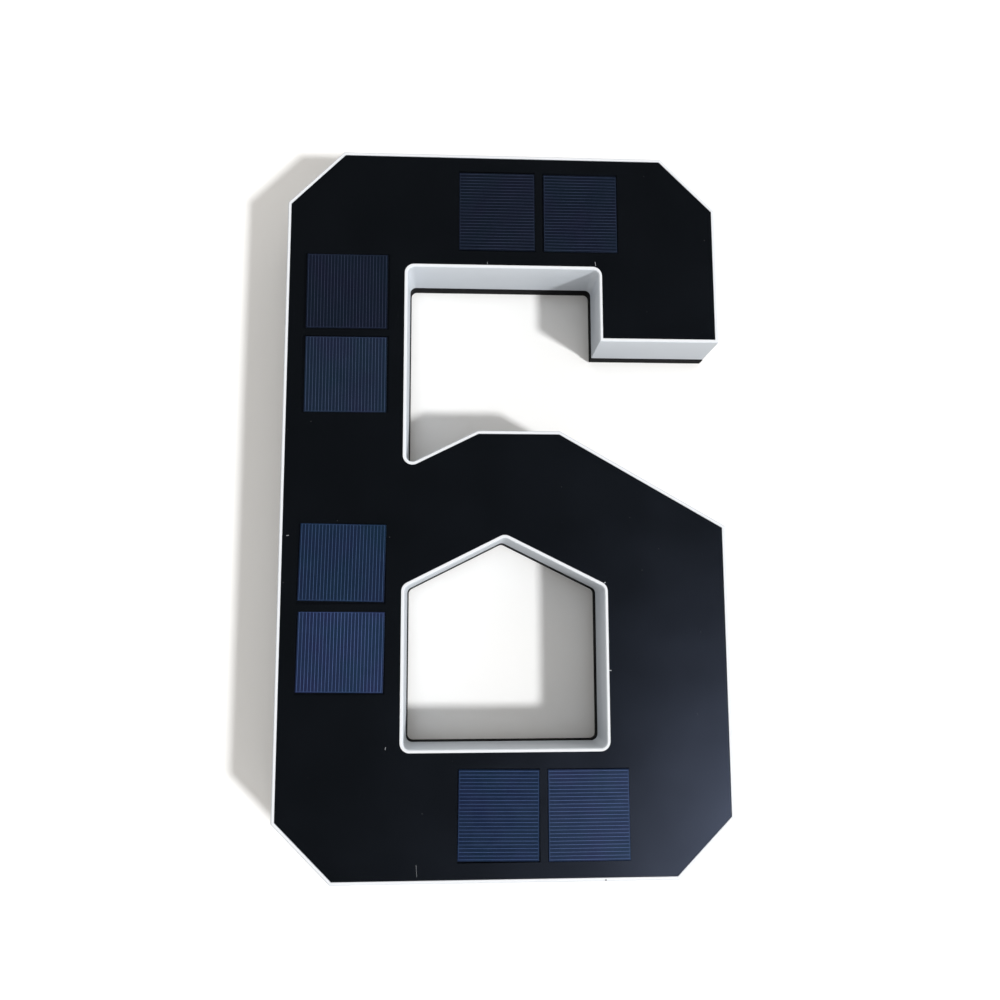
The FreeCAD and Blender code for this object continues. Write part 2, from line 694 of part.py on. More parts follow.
def make_switch_body():
    """Switch on the back of the board, with the bore that its plunger runs in."""
    body = block(BUTTON_X, BOARD_Y, SWITCH_SIZE, SWITCH_SIZE, SWITCH_FACE, BOARD_BACK)
    bore_end = STEM_TOP + PLUNGER_REACH + BUTTON_TRAVEL + BUTTON_STOP_GAP
    bore = post(BUTTON_X, BOARD_Y, PLUNGER_RADIUS + STEM_CLEARANCE, SWITCH_FACE, bore_end, ROUND_SIDES)
    return body.cut(bore)


def make_button_seal():
    """Rubber ring round the stem, on the inside of the cup."""
    high = CUP_TOP + SEAL_THICKNESS
    ring = post(BUTTON_X, BOARD_Y, SEAL_RADIUS, CUP_TOP, high, ROUND_SIDES)
    return ring.cut(post(BUTTON_X, BOARD_Y, STEM_RADIUS + STEM_CLEARANCE, CUP_TOP, high, ROUND_SIDES))


# ---- Battery ----

def level_rod(x, y_start, y_end, radius, level):
    return Part.makeCylinder(radius, y_end - y_start, Vector(x, y_start, level), Vector(0, 1, 0))


def make_battery_cell():
    low = BATTERY_Y - CELL_END
    high = BATTERY_Y + CELL_END - BATTERY_CAP_HEIGHT
    can = level_rod(RIGHT_X, low, high, BATTERY_RADIUS, BATTERY_LEVEL)
    cap = level_rod(RIGHT_X, high, high + BATTERY_CAP_HEIGHT, BATTERY_CAP_RADIUS, BATTERY_LEVEL)
    return can.fuse(cap).removeSplitter()


def make_battery_holder():
    """Open cradle with a wall at each end and two screw ears."""
    top = COVER_PLATE + HOLDER_RISE
    holder = block(RIGHT_X, BATTERY_Y, 2 * HOLDER_HALF_WIDTH, 2 * HOLDER_HALF_LENGTH, COVER_PLATE, top)
    inner = HOLDER_HALF_LENGTH - HOLDER_WALL
    cradle = level_rod(RIGHT_X, BATTERY_Y - inner, BATTERY_Y + inner, CRADLE_RADIUS, BATTERY_LEVEL)
    holder = holder.cut(cradle)
    holder = holder.cut(block(RIGHT_X, BATTERY_Y, 2 * CRADLE_RADIUS, 2 * inner, BATTERY_LEVEL, top))
    for ear in ear_places():
        ear_top = EAR_HEIGHT + EAR_THICKNESS
        tab = block(ear.x, ear.y, EAR_SIZE, EAR_SIZE, EAR_HEIGHT, ear_top)
        hole = post(ear.x, ear.y, SMALL_SCREW_RADIUS + SHANK_CLEARANCE, EAR_HEIGHT, ear_top)
        holder = holder.fuse(tab).cut(hole)
    return holder.removeSplitter()


def make_holder_screws():
    return Part.makeCompound([small_screw(ear, EAR_HEIGHT + EAR_THICKNESS) for ear in ear_places()])


def make_battery_contacts():
    """A sprung plate at each end of the cell."""
    contacts = []
    inner = HOLDER_HALF_LENGTH - HOLDER_WALL
    for end in (-1, 1):
        plate_y = BATTERY_Y + end * (inner - CONTACT_THICKNESS / 2)
        low = BATTERY_LEVEL - CONTACT_HEIGHT / 2
        high = BATTERY_LEVEL + CONTACT_HEIGHT / 2
        plate = block(RIGHT_X, plate_y, CONTACT_WIDTH, CONTACT_THICKNESS, low, high)
        contacts.append(plate.fuse(contact_leaf(end, inner - CONTACT_THICKNESS)).removeSplitter())
    return Part.makeCompound(contacts)


def contact_leaf(end, plate_reach):
    """The bent leaf that presses on one end of the cell."""
    cell_face = BATTERY_Y + end * CELL_END
    plate_face = BATTERY_Y + end * plate_reach
    low = BATTERY_LEVEL - CONTACT_LEAF_HEIGHT / 2
    thick = Vector(0, 0, CONTACT_THICKNESS)
    foot = Vector(RIGHT_X - CONTACT_LEAF_HEIGHT / 2, plate_face, low)
    touch = Vector(foot.x, cell_face, BATTERY_LEVEL - CONTACT_THICKNESS)
    back = Vector(foot.x, plate_face, BATTERY_LEVEL + CONTACT_LEAF_HEIGHT / 2)
    bend = touch + thick + Vector(0, end * CONTACT_THICKNESS, 0)
    rim = [foot, touch, touch + thick * 2, back, back - thick, bend, foot + thick]
    outline = Part.Face(Part.makePolygon(rim + rim[:1]))
    return outline.extrude(Vector(CONTACT_LEAF_HEIGHT, 0, 0))


def make_battery_leads():
    """From each end of the holder to the right connector: one lead runs beside the holder."""
    lower_mouth, upper_mouth = connector_wires(1, 0)
    x = RIGHT_X - LEAD_OFFSET
    beside = RIGHT_X - HOLDER_HALF_WIDTH - LEAD_GAP
    low = BATTERY_Y - HOLDER_HALF_LENGTH
    high = BATTERY_Y + HOLDER_HALF_LENGTH
    ahead = Vector(LEAD_RUN, 0, 0)
    long_lead = [
        Vector(x, low, BATTERY_LEVEL),
        Vector(x, low - LEAD_RUN, BATTERY_LEVEL),
        Vector(beside, low - LEAD_RUN, BATTERY_LEVEL),
        Vector(beside, high, BATTERY_LEVEL),
        lower_mouth + ahead,
        lower_mouth,
    ]
    short_lead = [
        Vector(x, high, BATTERY_LEVEL),
        Vector(x, high + LEAD_RUN, BATTERY_LEVEL),
        upper_mouth + ahead,
        upper_mouth,
    ]
    return Part.makeCompound([wire_tube(route, LEAD_BEND) for route in (long_lead, short_lead)])


# ---- Back cover ----

def keyhole_opening(middle):
    """Entry hole with the slot above it, through the plate."""
    slot_end = middle.y + KEYHOLE_SLOT_RISE
    hole = rod(middle.x, middle.y, KEYHOLE_ENTRY_RADIUS, 0, COVER_PLATE)
    slot = block(middle.x, (middle.y + slot_end) / 2, KEYHOLE_SLOT_WIDTH, KEYHOLE_SLOT_RISE, 0, COVER_PLATE)
    tip = rod(middle.x, slot_end, KEYHOLE_SLOT_WIDTH / 2, 0, COVER_PLATE)
    return [hole, slot, tip]


def keyhole_pocket(middle, margin, high):
    """The block over a keyhole in which the wall screw's head slides up."""
    slot_end = middle.y + KEYHOLE_SLOT_RISE
    width = 2 * (KEYHOLE_ENTRY_RADIUS + margin)
    return block(middle.x, (middle.y + slot_end) / 2, width, width + KEYHOLE_SLOT_RISE, COVER_PLATE, high)


def make_back_cover():
    """Black cover: plate, edge, tongue, gasket groove, screw pads, keyholes, button cup and posts."""
    cover = chamfer_outline(figure_slab(0, 0, COVER_EDGE), 0, COVER_EDGE_CHAMFER)
    cover = cover.cut(figure_slab(COVER_RIM, COVER_PLATE, COVER_EDGE))
    cover = cover.fuse(figure_ring(COVER_SEAT, COVER_RIM, COVER_EDGE, TONGUE_TOP))
    groove_out = (WALL - GASKET_WIDTH) / 2
    groove_in = groove_out + GASKET_WIDTH
    cover = cover.cut(figure_ring(groove_out, groove_in, COVER_EDGE - GASKET_HEIGHT, COVER_EDGE))

    pads = [post(middle.x, middle.y, PAD_RADIUS, COVER_PLATE, COVER_EDGE) for middle, way in boss_places()]
    pocket_wall = KEYHOLE_POCKET_MARGIN + POCKET_WALL
    pocket_top = COVER_PLATE + KEYHOLE_POCKET_DEPTH
    pockets = [keyhole_pocket(middle, pocket_wall, pocket_top + POCKET_WALL) for middle in keyhole_places()]
    cup = [rod(BUTTON_X, BOARD_Y, CUP_RADIUS + CUP_WALL, COVER_PLATE, CUP_TOP)]
    posts = [post(place.x, place.y, POST_RADIUS, COVER_PLATE, BOARD_BACK) for place in board_screw_places()]
    posts += [post(place.x, place.y, POST_RADIUS, COVER_PLATE, EAR_HEIGHT) for place in ear_places()]
    cover = cover.fuse(pads + pockets + cup + posts)

    cuts = []
    counterbore_radius = SCREW_HEAD_RADIUS + COUNTERBORE_CLEARANCE
    for middle, way in boss_places():
        cuts.append(post(middle.x, middle.y, counterbore_radius, 0, HEAD_SEAT, ROUND_SIDES))
        cuts.append(post(middle.x, middle.y, SCREW_RADIUS + SHANK_CLEARANCE, HEAD_SEAT, COVER_EDGE))
    for middle in keyhole_places():
        cuts += keyhole_opening(middle)
        cuts.append(keyhole_pocket(middle, KEYHOLE_POCKET_MARGIN, pocket_top))
    cuts.append(rod(BUTTON_X, BOARD_Y, CUP_RADIUS, 0, CUP_FLOOR))
    cuts.append(post(BUTTON_X, BOARD_Y, STEM_RADIUS + STEM_CLEARANCE, CUP_FLOOR, CUP_TOP, ROUND_SIDES))
    bore = SMALL_SCREW_RADIUS + THREAD_CLEARANCE
    for place in board_screw_places():
        low = BOARD_FACE - SMALL_SCREW_LENGTH - PILOT_SPARE
        cuts.append(post(place.x, place.y, bore, low, BOARD_BACK))
    for place in ear_places():
        cuts.append(post(place.x, place.y, bore, COVER_PLATE, EAR_HEIGHT))
    return cover.cut(cuts).removeSplitter()


def make_gasket(corners):
    """Rubber strip in the groove of the cover, under the wall."""
    outer_inset = (WALL - GASKET_WIDTH) / 2 + GASKET_CLEARANCE
    inner_inset = outer_inset + GASKET_WIDTH - 2 * GASKET_CLEARANCE
    faces = []
    for inset in (outer_inset, inner_inset):
        outline = outline_wire(inset_corners(corners, inset), INNER_CORNER_RADIUS + inset)
        faces.append(Part.Face(outline))
    wide, narrow = sorted(faces, key=lambda face: -face.Area)
    band = wide.cut(narrow)
    band.translate(Vector(0, 0, COVER_EDGE - GASKET_HEIGHT))
    return band.extrude(Vector(0, 0, GASKET_HEIGHT)).Solids[0]


def make_cover_screws():
    """Pan-head screws from the back, with a cross recess."""
    screws = []
    for middle, way in boss_places():
        head = post(middle.x, middle.y, SCREW_HEAD_RADIUS, SCREW_SUNK, HEAD_SEAT, ROUND_SIDES)
        recess_end = SCREW_SUNK + CROSS_DEPTH
        wide = block(middle.x, middle.y, CROSS_LENGTH, CROSS_WIDTH, SCREW_SUNK, recess_end)
        tall = block(middle.x, middle.y, CROSS_WIDTH, CROSS_LENGTH, SCREW_SUNK, recess_end)
        shank = post(middle.x, middle.y, SCREW_RADIUS, HEAD_SEAT, HEAD_SEAT + SCREW_LENGTH)
        screws.append(head.cut([wide, tall]).fuse(shank).removeSplitter())
    return Part.makeCompound(screws)


# ---- The whole sign ----

def stand_up(shape):
    """Stand a shape up, with the middle of the figure's back at the origin."""
    upright = shape.copy()
    upright.translate(Vector(-WIDTH / 2, -HEIGHT / 2, 0))
    upright.rotate(Vector(), Vector(1, 0, 0), 90)
    return upright


def make_parts():
    parts = {
        "housing_shell": make_housing_shell(),
        "face_panel": make_face_panel(),
        "panel_adhesive": make_panel_adhesive(),
        "cell_pins": make_cell_pins(),
        "panel_bus_outer": make_bus(BUS_OFFSET, BUS_OUTER_BEND),
        "panel_bus_inner": make_bus(-BUS_OFFSET, BUS_INNER_BEND),
        "panel_leads": make_panel_leads(),
        "led_packages": make_led_packages(),
        "led_jumpers": make_led_jumpers(),
        "led_leads": make_led_leads(),
        "control_board": make_control_board(),
        "board_screws": make_board_screws(),
        "controller_chip": make_controller_chip(),
        "inductor": make_inductor(),
        "capacitors": make_capacitors(),
        "board_connectors": make_board_connectors(),
        "button_cap": make_button_cap(),
        "switch_plunger": make_switch_plunger(),
        "switch_body": make_switch_body(),
        "button_seal": make_button_seal(),
        "battery_cell": make_battery_cell(),
        "battery_holder": make_battery_holder(),
        "holder_screws": make_holder_screws(),
        "battery_contacts": make_battery_contacts(),
        "battery_leads": make_battery_leads(),
        "back_cover": make_back_cover(),
        "cover_gasket_outer": make_gasket(figure_corners()),
        "cover_gasket_inner": make_gasket(counter_corners()),
        "cover_screws": make_cover_screws(),
    }
    parts.update(make_cells())
    parts.update(make_strips())
    return parts


os.makedirs("parts", exist_ok=True)
for node, shape in make_parts().items():
    finished = stand_up(shape)
    finished.exportStep("parts/" + node + ".step")
    solids = finished.Solids
    print(node, len(solids), "solids,", round(sum(solid.Volume for solid in solids), 1), "mm3,",
          "valid" if finished.isValid() else "NOT VALID")
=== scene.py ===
import math
import random

import bmesh
import bpy
from mathutils import Matrix, Quaternion, Vector


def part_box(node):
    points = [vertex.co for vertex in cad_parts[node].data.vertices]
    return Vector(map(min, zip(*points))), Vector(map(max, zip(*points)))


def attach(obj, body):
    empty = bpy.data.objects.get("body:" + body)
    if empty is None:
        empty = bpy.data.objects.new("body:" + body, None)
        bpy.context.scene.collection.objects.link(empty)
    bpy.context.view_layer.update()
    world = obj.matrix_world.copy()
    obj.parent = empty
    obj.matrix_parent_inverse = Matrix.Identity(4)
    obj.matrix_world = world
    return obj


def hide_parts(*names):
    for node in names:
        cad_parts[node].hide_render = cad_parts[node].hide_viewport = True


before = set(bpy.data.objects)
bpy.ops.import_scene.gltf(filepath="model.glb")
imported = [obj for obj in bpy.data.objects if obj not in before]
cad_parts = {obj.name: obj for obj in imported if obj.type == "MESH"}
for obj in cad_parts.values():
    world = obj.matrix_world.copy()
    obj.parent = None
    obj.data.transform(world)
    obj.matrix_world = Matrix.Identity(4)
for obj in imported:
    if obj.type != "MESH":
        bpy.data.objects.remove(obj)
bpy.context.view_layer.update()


# ---- The photograph's camera ----
# The sign is seen nearly square on from about 0.4 m, from a little below and left of its middle,
# with a 33 mm lens on a 36 mm wide square frame.

MM = 0.001
CAMERA_PLACE = Vector((-22.2, -410.0, -50.7)) * MM
CAMERA_LOOK = Vector((0.05276, 0.98977, 0.13258))
CAMERA_ROLL = math.radians(-0.17)
CAMERA_LENS = 33.08
CAMERA_SENSOR = 36.0

camera_data = bpy.data.cameras.new("camera")
camera_data.lens = CAMERA_LENS
camera_data.sensor_width = CAMERA_SENSOR
camera_data.clip_start = 0.01
camera = bpy.data.objects.new("camera", camera_data)
bpy.context.scene.collection.objects.link(camera)
camera_turn = CAMERA_LOOK.to_track_quat("-Z", "Y") @ Quaternion((0, 0, 1), CAMERA_ROLL)
camera.matrix_world = Matrix.Translation(CAMERA_PLACE) @ camera_turn.to_matrix().to_4x4()
bpy.context.scene.camera = camera
bpy.context.scene.view_settings.view_transform = "Standard"


# ---- Light ----
# One lamp low on the right in a pale room, brightest above and below. Shiny faces see another room: dark in
# front, a glow round the lamp, and a pale wall behind. It was fitted to the sheen on the black face.
# A second lamp behind the white surface lights only the back.

KEY_TRAVEL = Vector((-0.5755, 0.738, 0.3525))
KEY_STRENGTH = 2.48
KEY_ANGLE = math.radians(6.0)
KEY_COLOUR = (0.97, 0.985, 1.0)
REAR_TRAVEL = Vector((0.45, -0.72, -0.53))
REAR_STRENGTH = 1.6
ROOM_COLOUR = (1.0, 0.978, 0.945)
ROOM_LEVEL = 1.46            # straight above, before its share
FRONT_SHARE = (0.42, 1.30)   # share of all the room's light: in front, and above, below and at the sides
ROOM_STOPS = [(0.0, 0.90), (0.5, 0.07), (1.0, 1.0)]     # from straight below, by level, to straight above
LEFT_LEVEL = 0.36            # more from the left
RIGHT_LEVEL = 0.62           # and from the right
GLOW_LEVEL = 9.8             # right round the lamp
# By the cosine of the angle to the lamp: from a right angle or more to the lamp itself.
GLOW_STOPS = [
    (0.0, 0.002), (0.4, 0.010), (0.72, 0.008), (0.88, 0.010), (0.93, 0.21), (0.97, 0.60), (1.0, 1.0)]
REAR_WALL_LEVEL = 0.9
REAR_WALL_REACH = 0.7        # where the wall is at its full level: 0 is at the sides, 1 straight behind


def add_sun(name, travel, strength, colour):
    """A far lamp whose light travels this way."""
    data = bpy.data.lights.new(name, "SUN")
    data.energy = strength
    data.angle = KEY_ANGLE
    data.color = colour
    lamp = bpy.data.objects.new(name, data)
    lamp.rotation_euler = travel.to_track_quat("-Z", "Y").to_euler()
    bpy.context.scene.collection.objects.link(lamp)


def add_node(tree, kind, **settings):
    """Add one shader node and set its properties and its inputs."""
    node = tree.nodes.new(kind)
    for name, value in settings.items():
        if name in node.inputs:
            node.inputs[name].default_value = value
        else:
            setattr(node, name, value)
    return node


def set_ramp(ramp, stops):
    """Give a colour ramp its stops: a place and a grey each."""
    elements = ramp.color_ramp.elements
    while len(elements) < len(stops):
        elements.new(1.0)
    for element, (place, grey) in zip(elements, stops):
        element.position = place
        element.color = (grey, grey, grey, 1.0)


def spread(tree, value, low, high, start=0.0, end=1.0):
    """Map a value's range onto another range. Gives the result's socket."""
    node = add_node(tree, "ShaderNodeMapRange")
    node.inputs["From Min"].default_value = start
    node.inputs["From Max"].default_value = end
    node.inputs["To Min"].default_value = low
    node.inputs["To Max"].default_value = high
    tree.links.new(value, node.inputs["Value"])
    return node.outputs["Result"]


def combine(tree, operation, first, second):
    """Two values through one math node. Gives the result's socket."""
    node = add_node(tree, "ShaderNodeMath", operation=operation)
    for index, value in enumerate((first, second)):
        if isinstance(value, float):
            node.inputs[index].default_value = value
        else:
            tree.links.new(value, node.inputs[index])
    return node.outputs[0]


def mix_shaders(tree, factor, first, second):
    """Mix two shaders by a factor. Gives the mixing node."""
    node = add_node(tree, "ShaderNodeMixShader")
    tree.links.new(factor, node.inputs[0])
    tree.links.new(first.outputs[0], node.inputs[1])
    tree.links.new(second.outputs[0], node.inputs[2])
    return node


def light_the_room():
    """The world: white to the camera, one room for matt surfaces and another for shiny ones."""
    world = bpy.data.worlds.new("pale_room")
    world.use_nodes = True
    bpy.context.scene.world = world
    tree = world.node_tree
    tree.nodes.clear()
    link = tree.links.new
    way = add_node(tree, "ShaderNodeTexCoord")
    axes = add_node(tree, "ShaderNodeSeparateXYZ")
    link(way.outputs["Generated"], axes.inputs[0])

    room_ramp = add_node(tree, "ShaderNodeValToRGB")
    set_ramp(room_ramp, ROOM_STOPS)
    link(spread(tree, axes.outputs["Z"], 0.0, 1.0, -1.0, 1.0), room_ramp.inputs["Fac"])
    room = add_node(tree, "ShaderNodeBackground", Color=(*ROOM_COLOUR, 1))
    level = combine(tree, "MULTIPLY", room_ramp.outputs["Color"], ROOM_LEVEL)
    left = spread(tree, axes.outputs["X"], LEFT_LEVEL, 0.0, -1.0, 0.0)
    right = spread(tree, axes.outputs["X"], 0.0, RIGHT_LEVEL)
    blocked = spread(tree, axes.outputs["Y"], *FRONT_SHARE, -1.0, 0.0)
    sides = combine(tree, "ADD", left, right)
    link(combine(tree, "MULTIPLY", combine(tree, "ADD", level, sides), blocked), room.inputs["Strength"])

    to_lamp = add_node(tree, "ShaderNodeVectorMath", operation="DOT_PRODUCT")
    to_lamp.inputs[1].default_value = -KEY_TRAVEL
    link(way.outputs["Generated"], to_lamp.inputs[0])
    glow_ramp = add_node(tree, "ShaderNodeValToRGB")
    set_ramp(glow_ramp, GLOW_STOPS)
    link(to_lamp.outputs["Value"], glow_ramp.inputs["Fac"])
    glow = combine(tree, "MULTIPLY", glow_ramp.outputs["Color"], GLOW_LEVEL)
    rear_wall = spread(tree, axes.outputs["Y"], 0.0, REAR_WALL_LEVEL, 0.0, REAR_WALL_REACH)
    reflected = add_node(tree, "ShaderNodeBackground")
    link(combine(tree, "ADD", glow, rear_wall), reflected.inputs["Strength"])

    path = add_node(tree, "ShaderNodeLightPath")
    shiny = combine(tree, "MAXIMUM", path.outputs["Is Glossy Ray"], path.outputs["Is Transmission Ray"])
    both = mix_shaders(tree, shiny, room, reflected)
    white = add_node(tree, "ShaderNodeBackground")
    white.inputs["Color"].default_value = (1, 1, 1, 1)
    seen = mix_shaders(tree, path.outputs["Is Camera Ray"], both, white)
    out = add_node(tree, "ShaderNodeOutputWorld")
    link(seen.outputs[0], out.inputs["Surface"])


add_sun("key_lamp", KEY_TRAVEL, KEY_STRENGTH, KEY_COLOUR)
add_sun("rear_lamp", REAR_TRAVEL, REAR_STRENGTH, KEY_COLOUR)
light_the_room()


# ---- The white surface behind the sign ----
# The plain surface that the sign lies on, just behind its back cover. It is left out under the cover
# and can't be seen from behind, so that the back is lit and shows too. It looks white to the camera
# and throws back less light than that, which was set to fit the shade of the walls.

BACKDROP_GAP = 0.3 * MM
BACKDROP_SIZE = 3.0
BACKDROP_WHITE = (1.0, 0.988, 0.970)
BACKDROP_BOUNCE = (0.36, 0.355, 0.35)
BACKDROP_MOTTLE = 0.02
# The figure and its counter, about 0.8 mm inside their edges, in mm.
COVERED_OUTLINE = [
    (-68.9, -151.7), (68.9, -151.7), (91.9, -128.7), (91.9, -11.0), (23.2, 28.7), (-11.1, 28.7),
    (-42.0, 13.2), (-42.0, 101.8), (42.1, 101.8), (42.1, 69.8), (91.9, 69.8), (91.9, 128.7),
    (68.9, 151.7), (-68.9, 151.7), (-92.0, 128.7), (-92.0, -128.7)]
COVERED_COUNTER = [(-42.0, -101.8), (-42.0, -35.6), (0.0, -14.6), (42.1, -35.6), (42.1, -101.8)]


def add_loop(mesh, corners):
    """A closed row of edges in the plane of the backdrop, from corners in metres."""
    points = [mesh.verts.new((x, BACKDROP_GAP, z)) for x, z in corners]
    return [mesh.edges.new((point, points[index - 1])) for index, point in enumerate(points)]


def make_backdrop():
    """The plane with a gap in the shape of the figure, and its paper."""
    plane = bmesh.new()
    half = BACKDROP_SIZE / 2
    edges = add_loop(plane, [(-half, -half), (half, -half), (half, half), (-half, half)])
    for outline in (COVERED_OUTLINE, COVERED_COUNTER):
        edges += add_loop(plane, [(x * MM, z * MM) for x, z in outline])
    bmesh.ops.triangle_fill(plane, use_beauty=True, use_dissolve=False, edges=edges, normal=(0, -1, 0))
    for face in plane.faces:
        if face.normal.y > 0:
            face.normal_flip()
    mesh = bpy.data.meshes.new("backdrop")
    plane.to_mesh(mesh)
    plane.free()
    backdrop = bpy.data.objects.new("backdrop", mesh)
    bpy.context.scene.collection.objects.link(backdrop)
    material = bpy.data.materials.new("white_surface")
    material.use_nodes = True
    tree = material.node_tree
    tree.nodes.clear()
    link = tree.links.new
    place = add_node(tree, "ShaderNodeTexCoord")
    mottle = add_node(tree, "ShaderNodeTexNoise", Scale=9.0, Detail=3.0)
    link(place.outputs["Object"], mottle.inputs["Vector"])
    path = add_node(tree, "ShaderNodeLightPath")
    paper_tone = add_node(tree, "ShaderNodeMix", data_type="RGBA")
    paper_tone.inputs["A"].default_value = (*BACKDROP_BOUNCE, 1)
    paper_tone.inputs["B"].default_value = (*BACKDROP_WHITE, 1)
    link(path.outputs["Is Camera Ray"], paper_tone.inputs["Factor"])
    mottled = add_node(tree, "ShaderNodeMix", data_type="RGBA", blend_type="MULTIPLY")
    mottled.inputs["Factor"].default_value = BACKDROP_MOTTLE
    link(paper_tone.outputs["Result"], mottled.inputs["A"])
    link(mottle.outputs["Fac"], mottled.inputs["B"])
    paper = add_node(tree, "ShaderNodeBsdfDiffuse")
    link(mottled.outputs["Result"], paper.inputs["Color"])
    clear = add_node(tree, "ShaderNodeBsdfTransparent")
    side = add_node(tree, "ShaderNodeNewGeometry")
    shown = mix_shaders(tree, side.outputs["Backfacing"], paper, clear)
    out = add_node(tree, "ShaderNodeOutputMaterial")
    link(shown.outputs[0], out.inputs["Surface"])
    mesh.materials.append(material)


make_backdrop()


# ---- Housing shell ----
# The white shell that makes the side walls and the thin rim round the face. Light-diffusing
# polycarbonate, moulded in one piece, with a fine matt skin and edges rounded by the mould.

SHELL_LOW = (0.615, 0.652, 0.697)
SHELL_HIGH = (0.635, 0.672, 0.717)
# The rim's flat front is painted lighter than the walls: a painted highlight, given as a level and its
# colour.
RIM_FRONT_HIGHLIGHT = (-30.88, (0.75, 0.77, 0.80))
DIRT_PLACE = (39.7, -30.9, -152.1)
DIRT_RADIUS = 0.45
DIRT_CORE = 0.6              # of the radius: fully dark
DIRT_COLOUR = (0.05, 0.05, 0.06)

# Counts are per metre.
BROAD_PATCHES = 38.0
DUST_PLACES = 420.0
DUST_SPECK = 0.09            # a speck's size, as a share of its place
DUST_COLOUR = (0.45, 0.44, 0.42)
DUST_COVER = 0.35
# The rubbed edges' mask below also carries the white shell's painted edge highlight.
RUBBED_PATCHES = 160.0
RUBBED_BREAKS = (0.42, 0.62)
RUBBED_TURN = (0.995, 0.85)  # cosine of the edge's turn, where rubbing starts and where it is full


def build_grain():
    """Node group: the fine skin of moulded plastic. Puts out a height and a mask."""
    group = bpy.data.node_groups.new("moulded_grain", "ShaderNodeTree")
    group.interface.new_socket("Vector", in_out="INPUT", socket_type="NodeSocketVector")
    group.interface.new_socket("Grain size", in_out="INPUT", socket_type="NodeSocketFloat")
    group.interface.new_socket("Height", in_out="OUTPUT", socket_type="NodeSocketFloat")
    group.interface.new_socket("Mask", in_out="OUTPUT", socket_type="NodeSocketFloat")
    link = group.links.new
    start = group.nodes.new("NodeGroupInput")
    end = group.nodes.new("NodeGroupOutput")
    fineness = add_node(group, "ShaderNodeMath", operation="DIVIDE")
    fineness.inputs[0].default_value = 1.0
    link(start.outputs["Grain size"], fineness.inputs[1])
    fine = add_node(group, "ShaderNodeTexNoise", Detail=2.0)
    link(start.outputs["Vector"], fine.inputs["Vector"])
    link(fineness.outputs[0], fine.inputs["Scale"])
    broad = add_node(group, "ShaderNodeTexNoise", Scale=BROAD_PATCHES, Detail=4.0)
    link(start.outputs["Vector"], broad.inputs["Vector"])
    link(fine.outputs["Fac"], end.inputs["Height"])
    link(broad.outputs["Fac"], end.inputs["Mask"])
    return group


def build_dust():
    """Node group: sparse fine dust. Puts out a mask."""
    group = bpy.data.node_groups.new("fine_dust", "ShaderNodeTree")
    group.interface.new_socket("Vector", in_out="INPUT", socket_type="NodeSocketVector")
    group.interface.new_socket("Amount", in_out="INPUT", socket_type="NodeSocketFloat")
    group.interface.new_socket("Mask", in_out="OUTPUT", socket_type="NodeSocketFloat")
    link = group.links.new
    start = group.nodes.new("NodeGroupInput")
    end = group.nodes.new("NodeGroupOutput")
    specks = add_node(group, "ShaderNodeTexVoronoi", Scale=DUST_PLACES, Randomness=1.0)
    link(start.outputs["Vector"], specks.inputs["Vector"])
    size = add_node(group, "ShaderNodeMath", operation="LESS_THAN")
    size.inputs[1].default_value = DUST_SPECK
    link(specks.outputs["Distance"], size.inputs[0])
    chosen = add_node(group, "ShaderNodeSeparateColor")
    link(specks.outputs["Color"], chosen.inputs["Color"])
    rare = add_node(group, "ShaderNodeMath", operation="LESS_THAN")
    link(chosen.outputs["Red"], rare.inputs[0])
    link(start.outputs["Amount"], rare.inputs[1])
    both = add_node(group, "ShaderNodeMath", operation="MULTIPLY")
    link(size.outputs[0], both.inputs[0])
    link(rare.outputs[0], both.inputs[1])
    link(both.outputs[0], end.inputs["Mask"])
    return group


def build_edge_wear_and_highlight():
    """Node group: where an edge is rubbed, which on the white shell also serves as a painted edge highlight.
    Puts out a mask and a rounded normal.
    """
    group = bpy.data.node_groups.new("edge_wear_and_highlight", "ShaderNodeTree")
    group.interface.new_socket("Vector", in_out="INPUT", socket_type="NodeSocketVector")
    group.interface.new_socket("Radius", in_out="INPUT", socket_type="NodeSocketFloat")
    group.interface.new_socket("Mask", in_out="OUTPUT", socket_type="NodeSocketFloat")
    group.interface.new_socket("Normal", in_out="OUTPUT", socket_type="NodeSocketVector")
    link = group.links.new
    start = group.nodes.new("NodeGroupInput")
    end = group.nodes.new("NodeGroupOutput")
    rounded = add_node(group, "ShaderNodeBevel", samples=6)
    link(start.outputs["Radius"], rounded.inputs["Radius"])
    flat = add_node(group, "ShaderNodeNewGeometry")
    turn = add_node(group, "ShaderNodeVectorMath", operation="DOT_PRODUCT")
    link(rounded.outputs["Normal"], turn.inputs[0])
    link(flat.outputs["Normal"], turn.inputs[1])
    edge = add_node(group, "ShaderNodeMapRange")
    edge.inputs["From Min"].default_value, edge.inputs["From Max"].default_value = RUBBED_TURN
    link(turn.outputs["Value"], edge.inputs["Value"])
    patches = add_node(group, "ShaderNodeTexNoise", Scale=RUBBED_PATCHES, Detail=4.0)
    link(start.outputs["Vector"], patches.inputs["Vector"])
    breaks = add_node(group, "ShaderNodeMapRange")
    breaks.inputs["From Min"].default_value, breaks.inputs["From Max"].default_value = RUBBED_BREAKS
    link(patches.outputs["Fac"], breaks.inputs["Value"])
    both = add_node(group, "ShaderNodeMath", operation="MULTIPLY")
    link(edge.outputs["Result"], both.inputs[0])
    link(breaks.outputs["Result"], both.inputs[1])
    link(both.outputs[0], end.inputs["Mask"])
    link(rounded.outputs["Normal"], end.inputs["Normal"])
    return group


grain_group = build_grain()
dust_group = build_dust()
wear_and_highlight_group = build_edge_wear_and_highlight()


def place_group(tree, group, vector, **values):
    """Put a shared effect in a material, with its own values."""
    node = tree.nodes.new("ShaderNodeGroup")
    node.node_tree = group
    tree.links.new(vector, node.inputs["Vector"])
    for name, value in values.items():
        node.inputs[name.replace("_", " ")].default_value = value
    return node


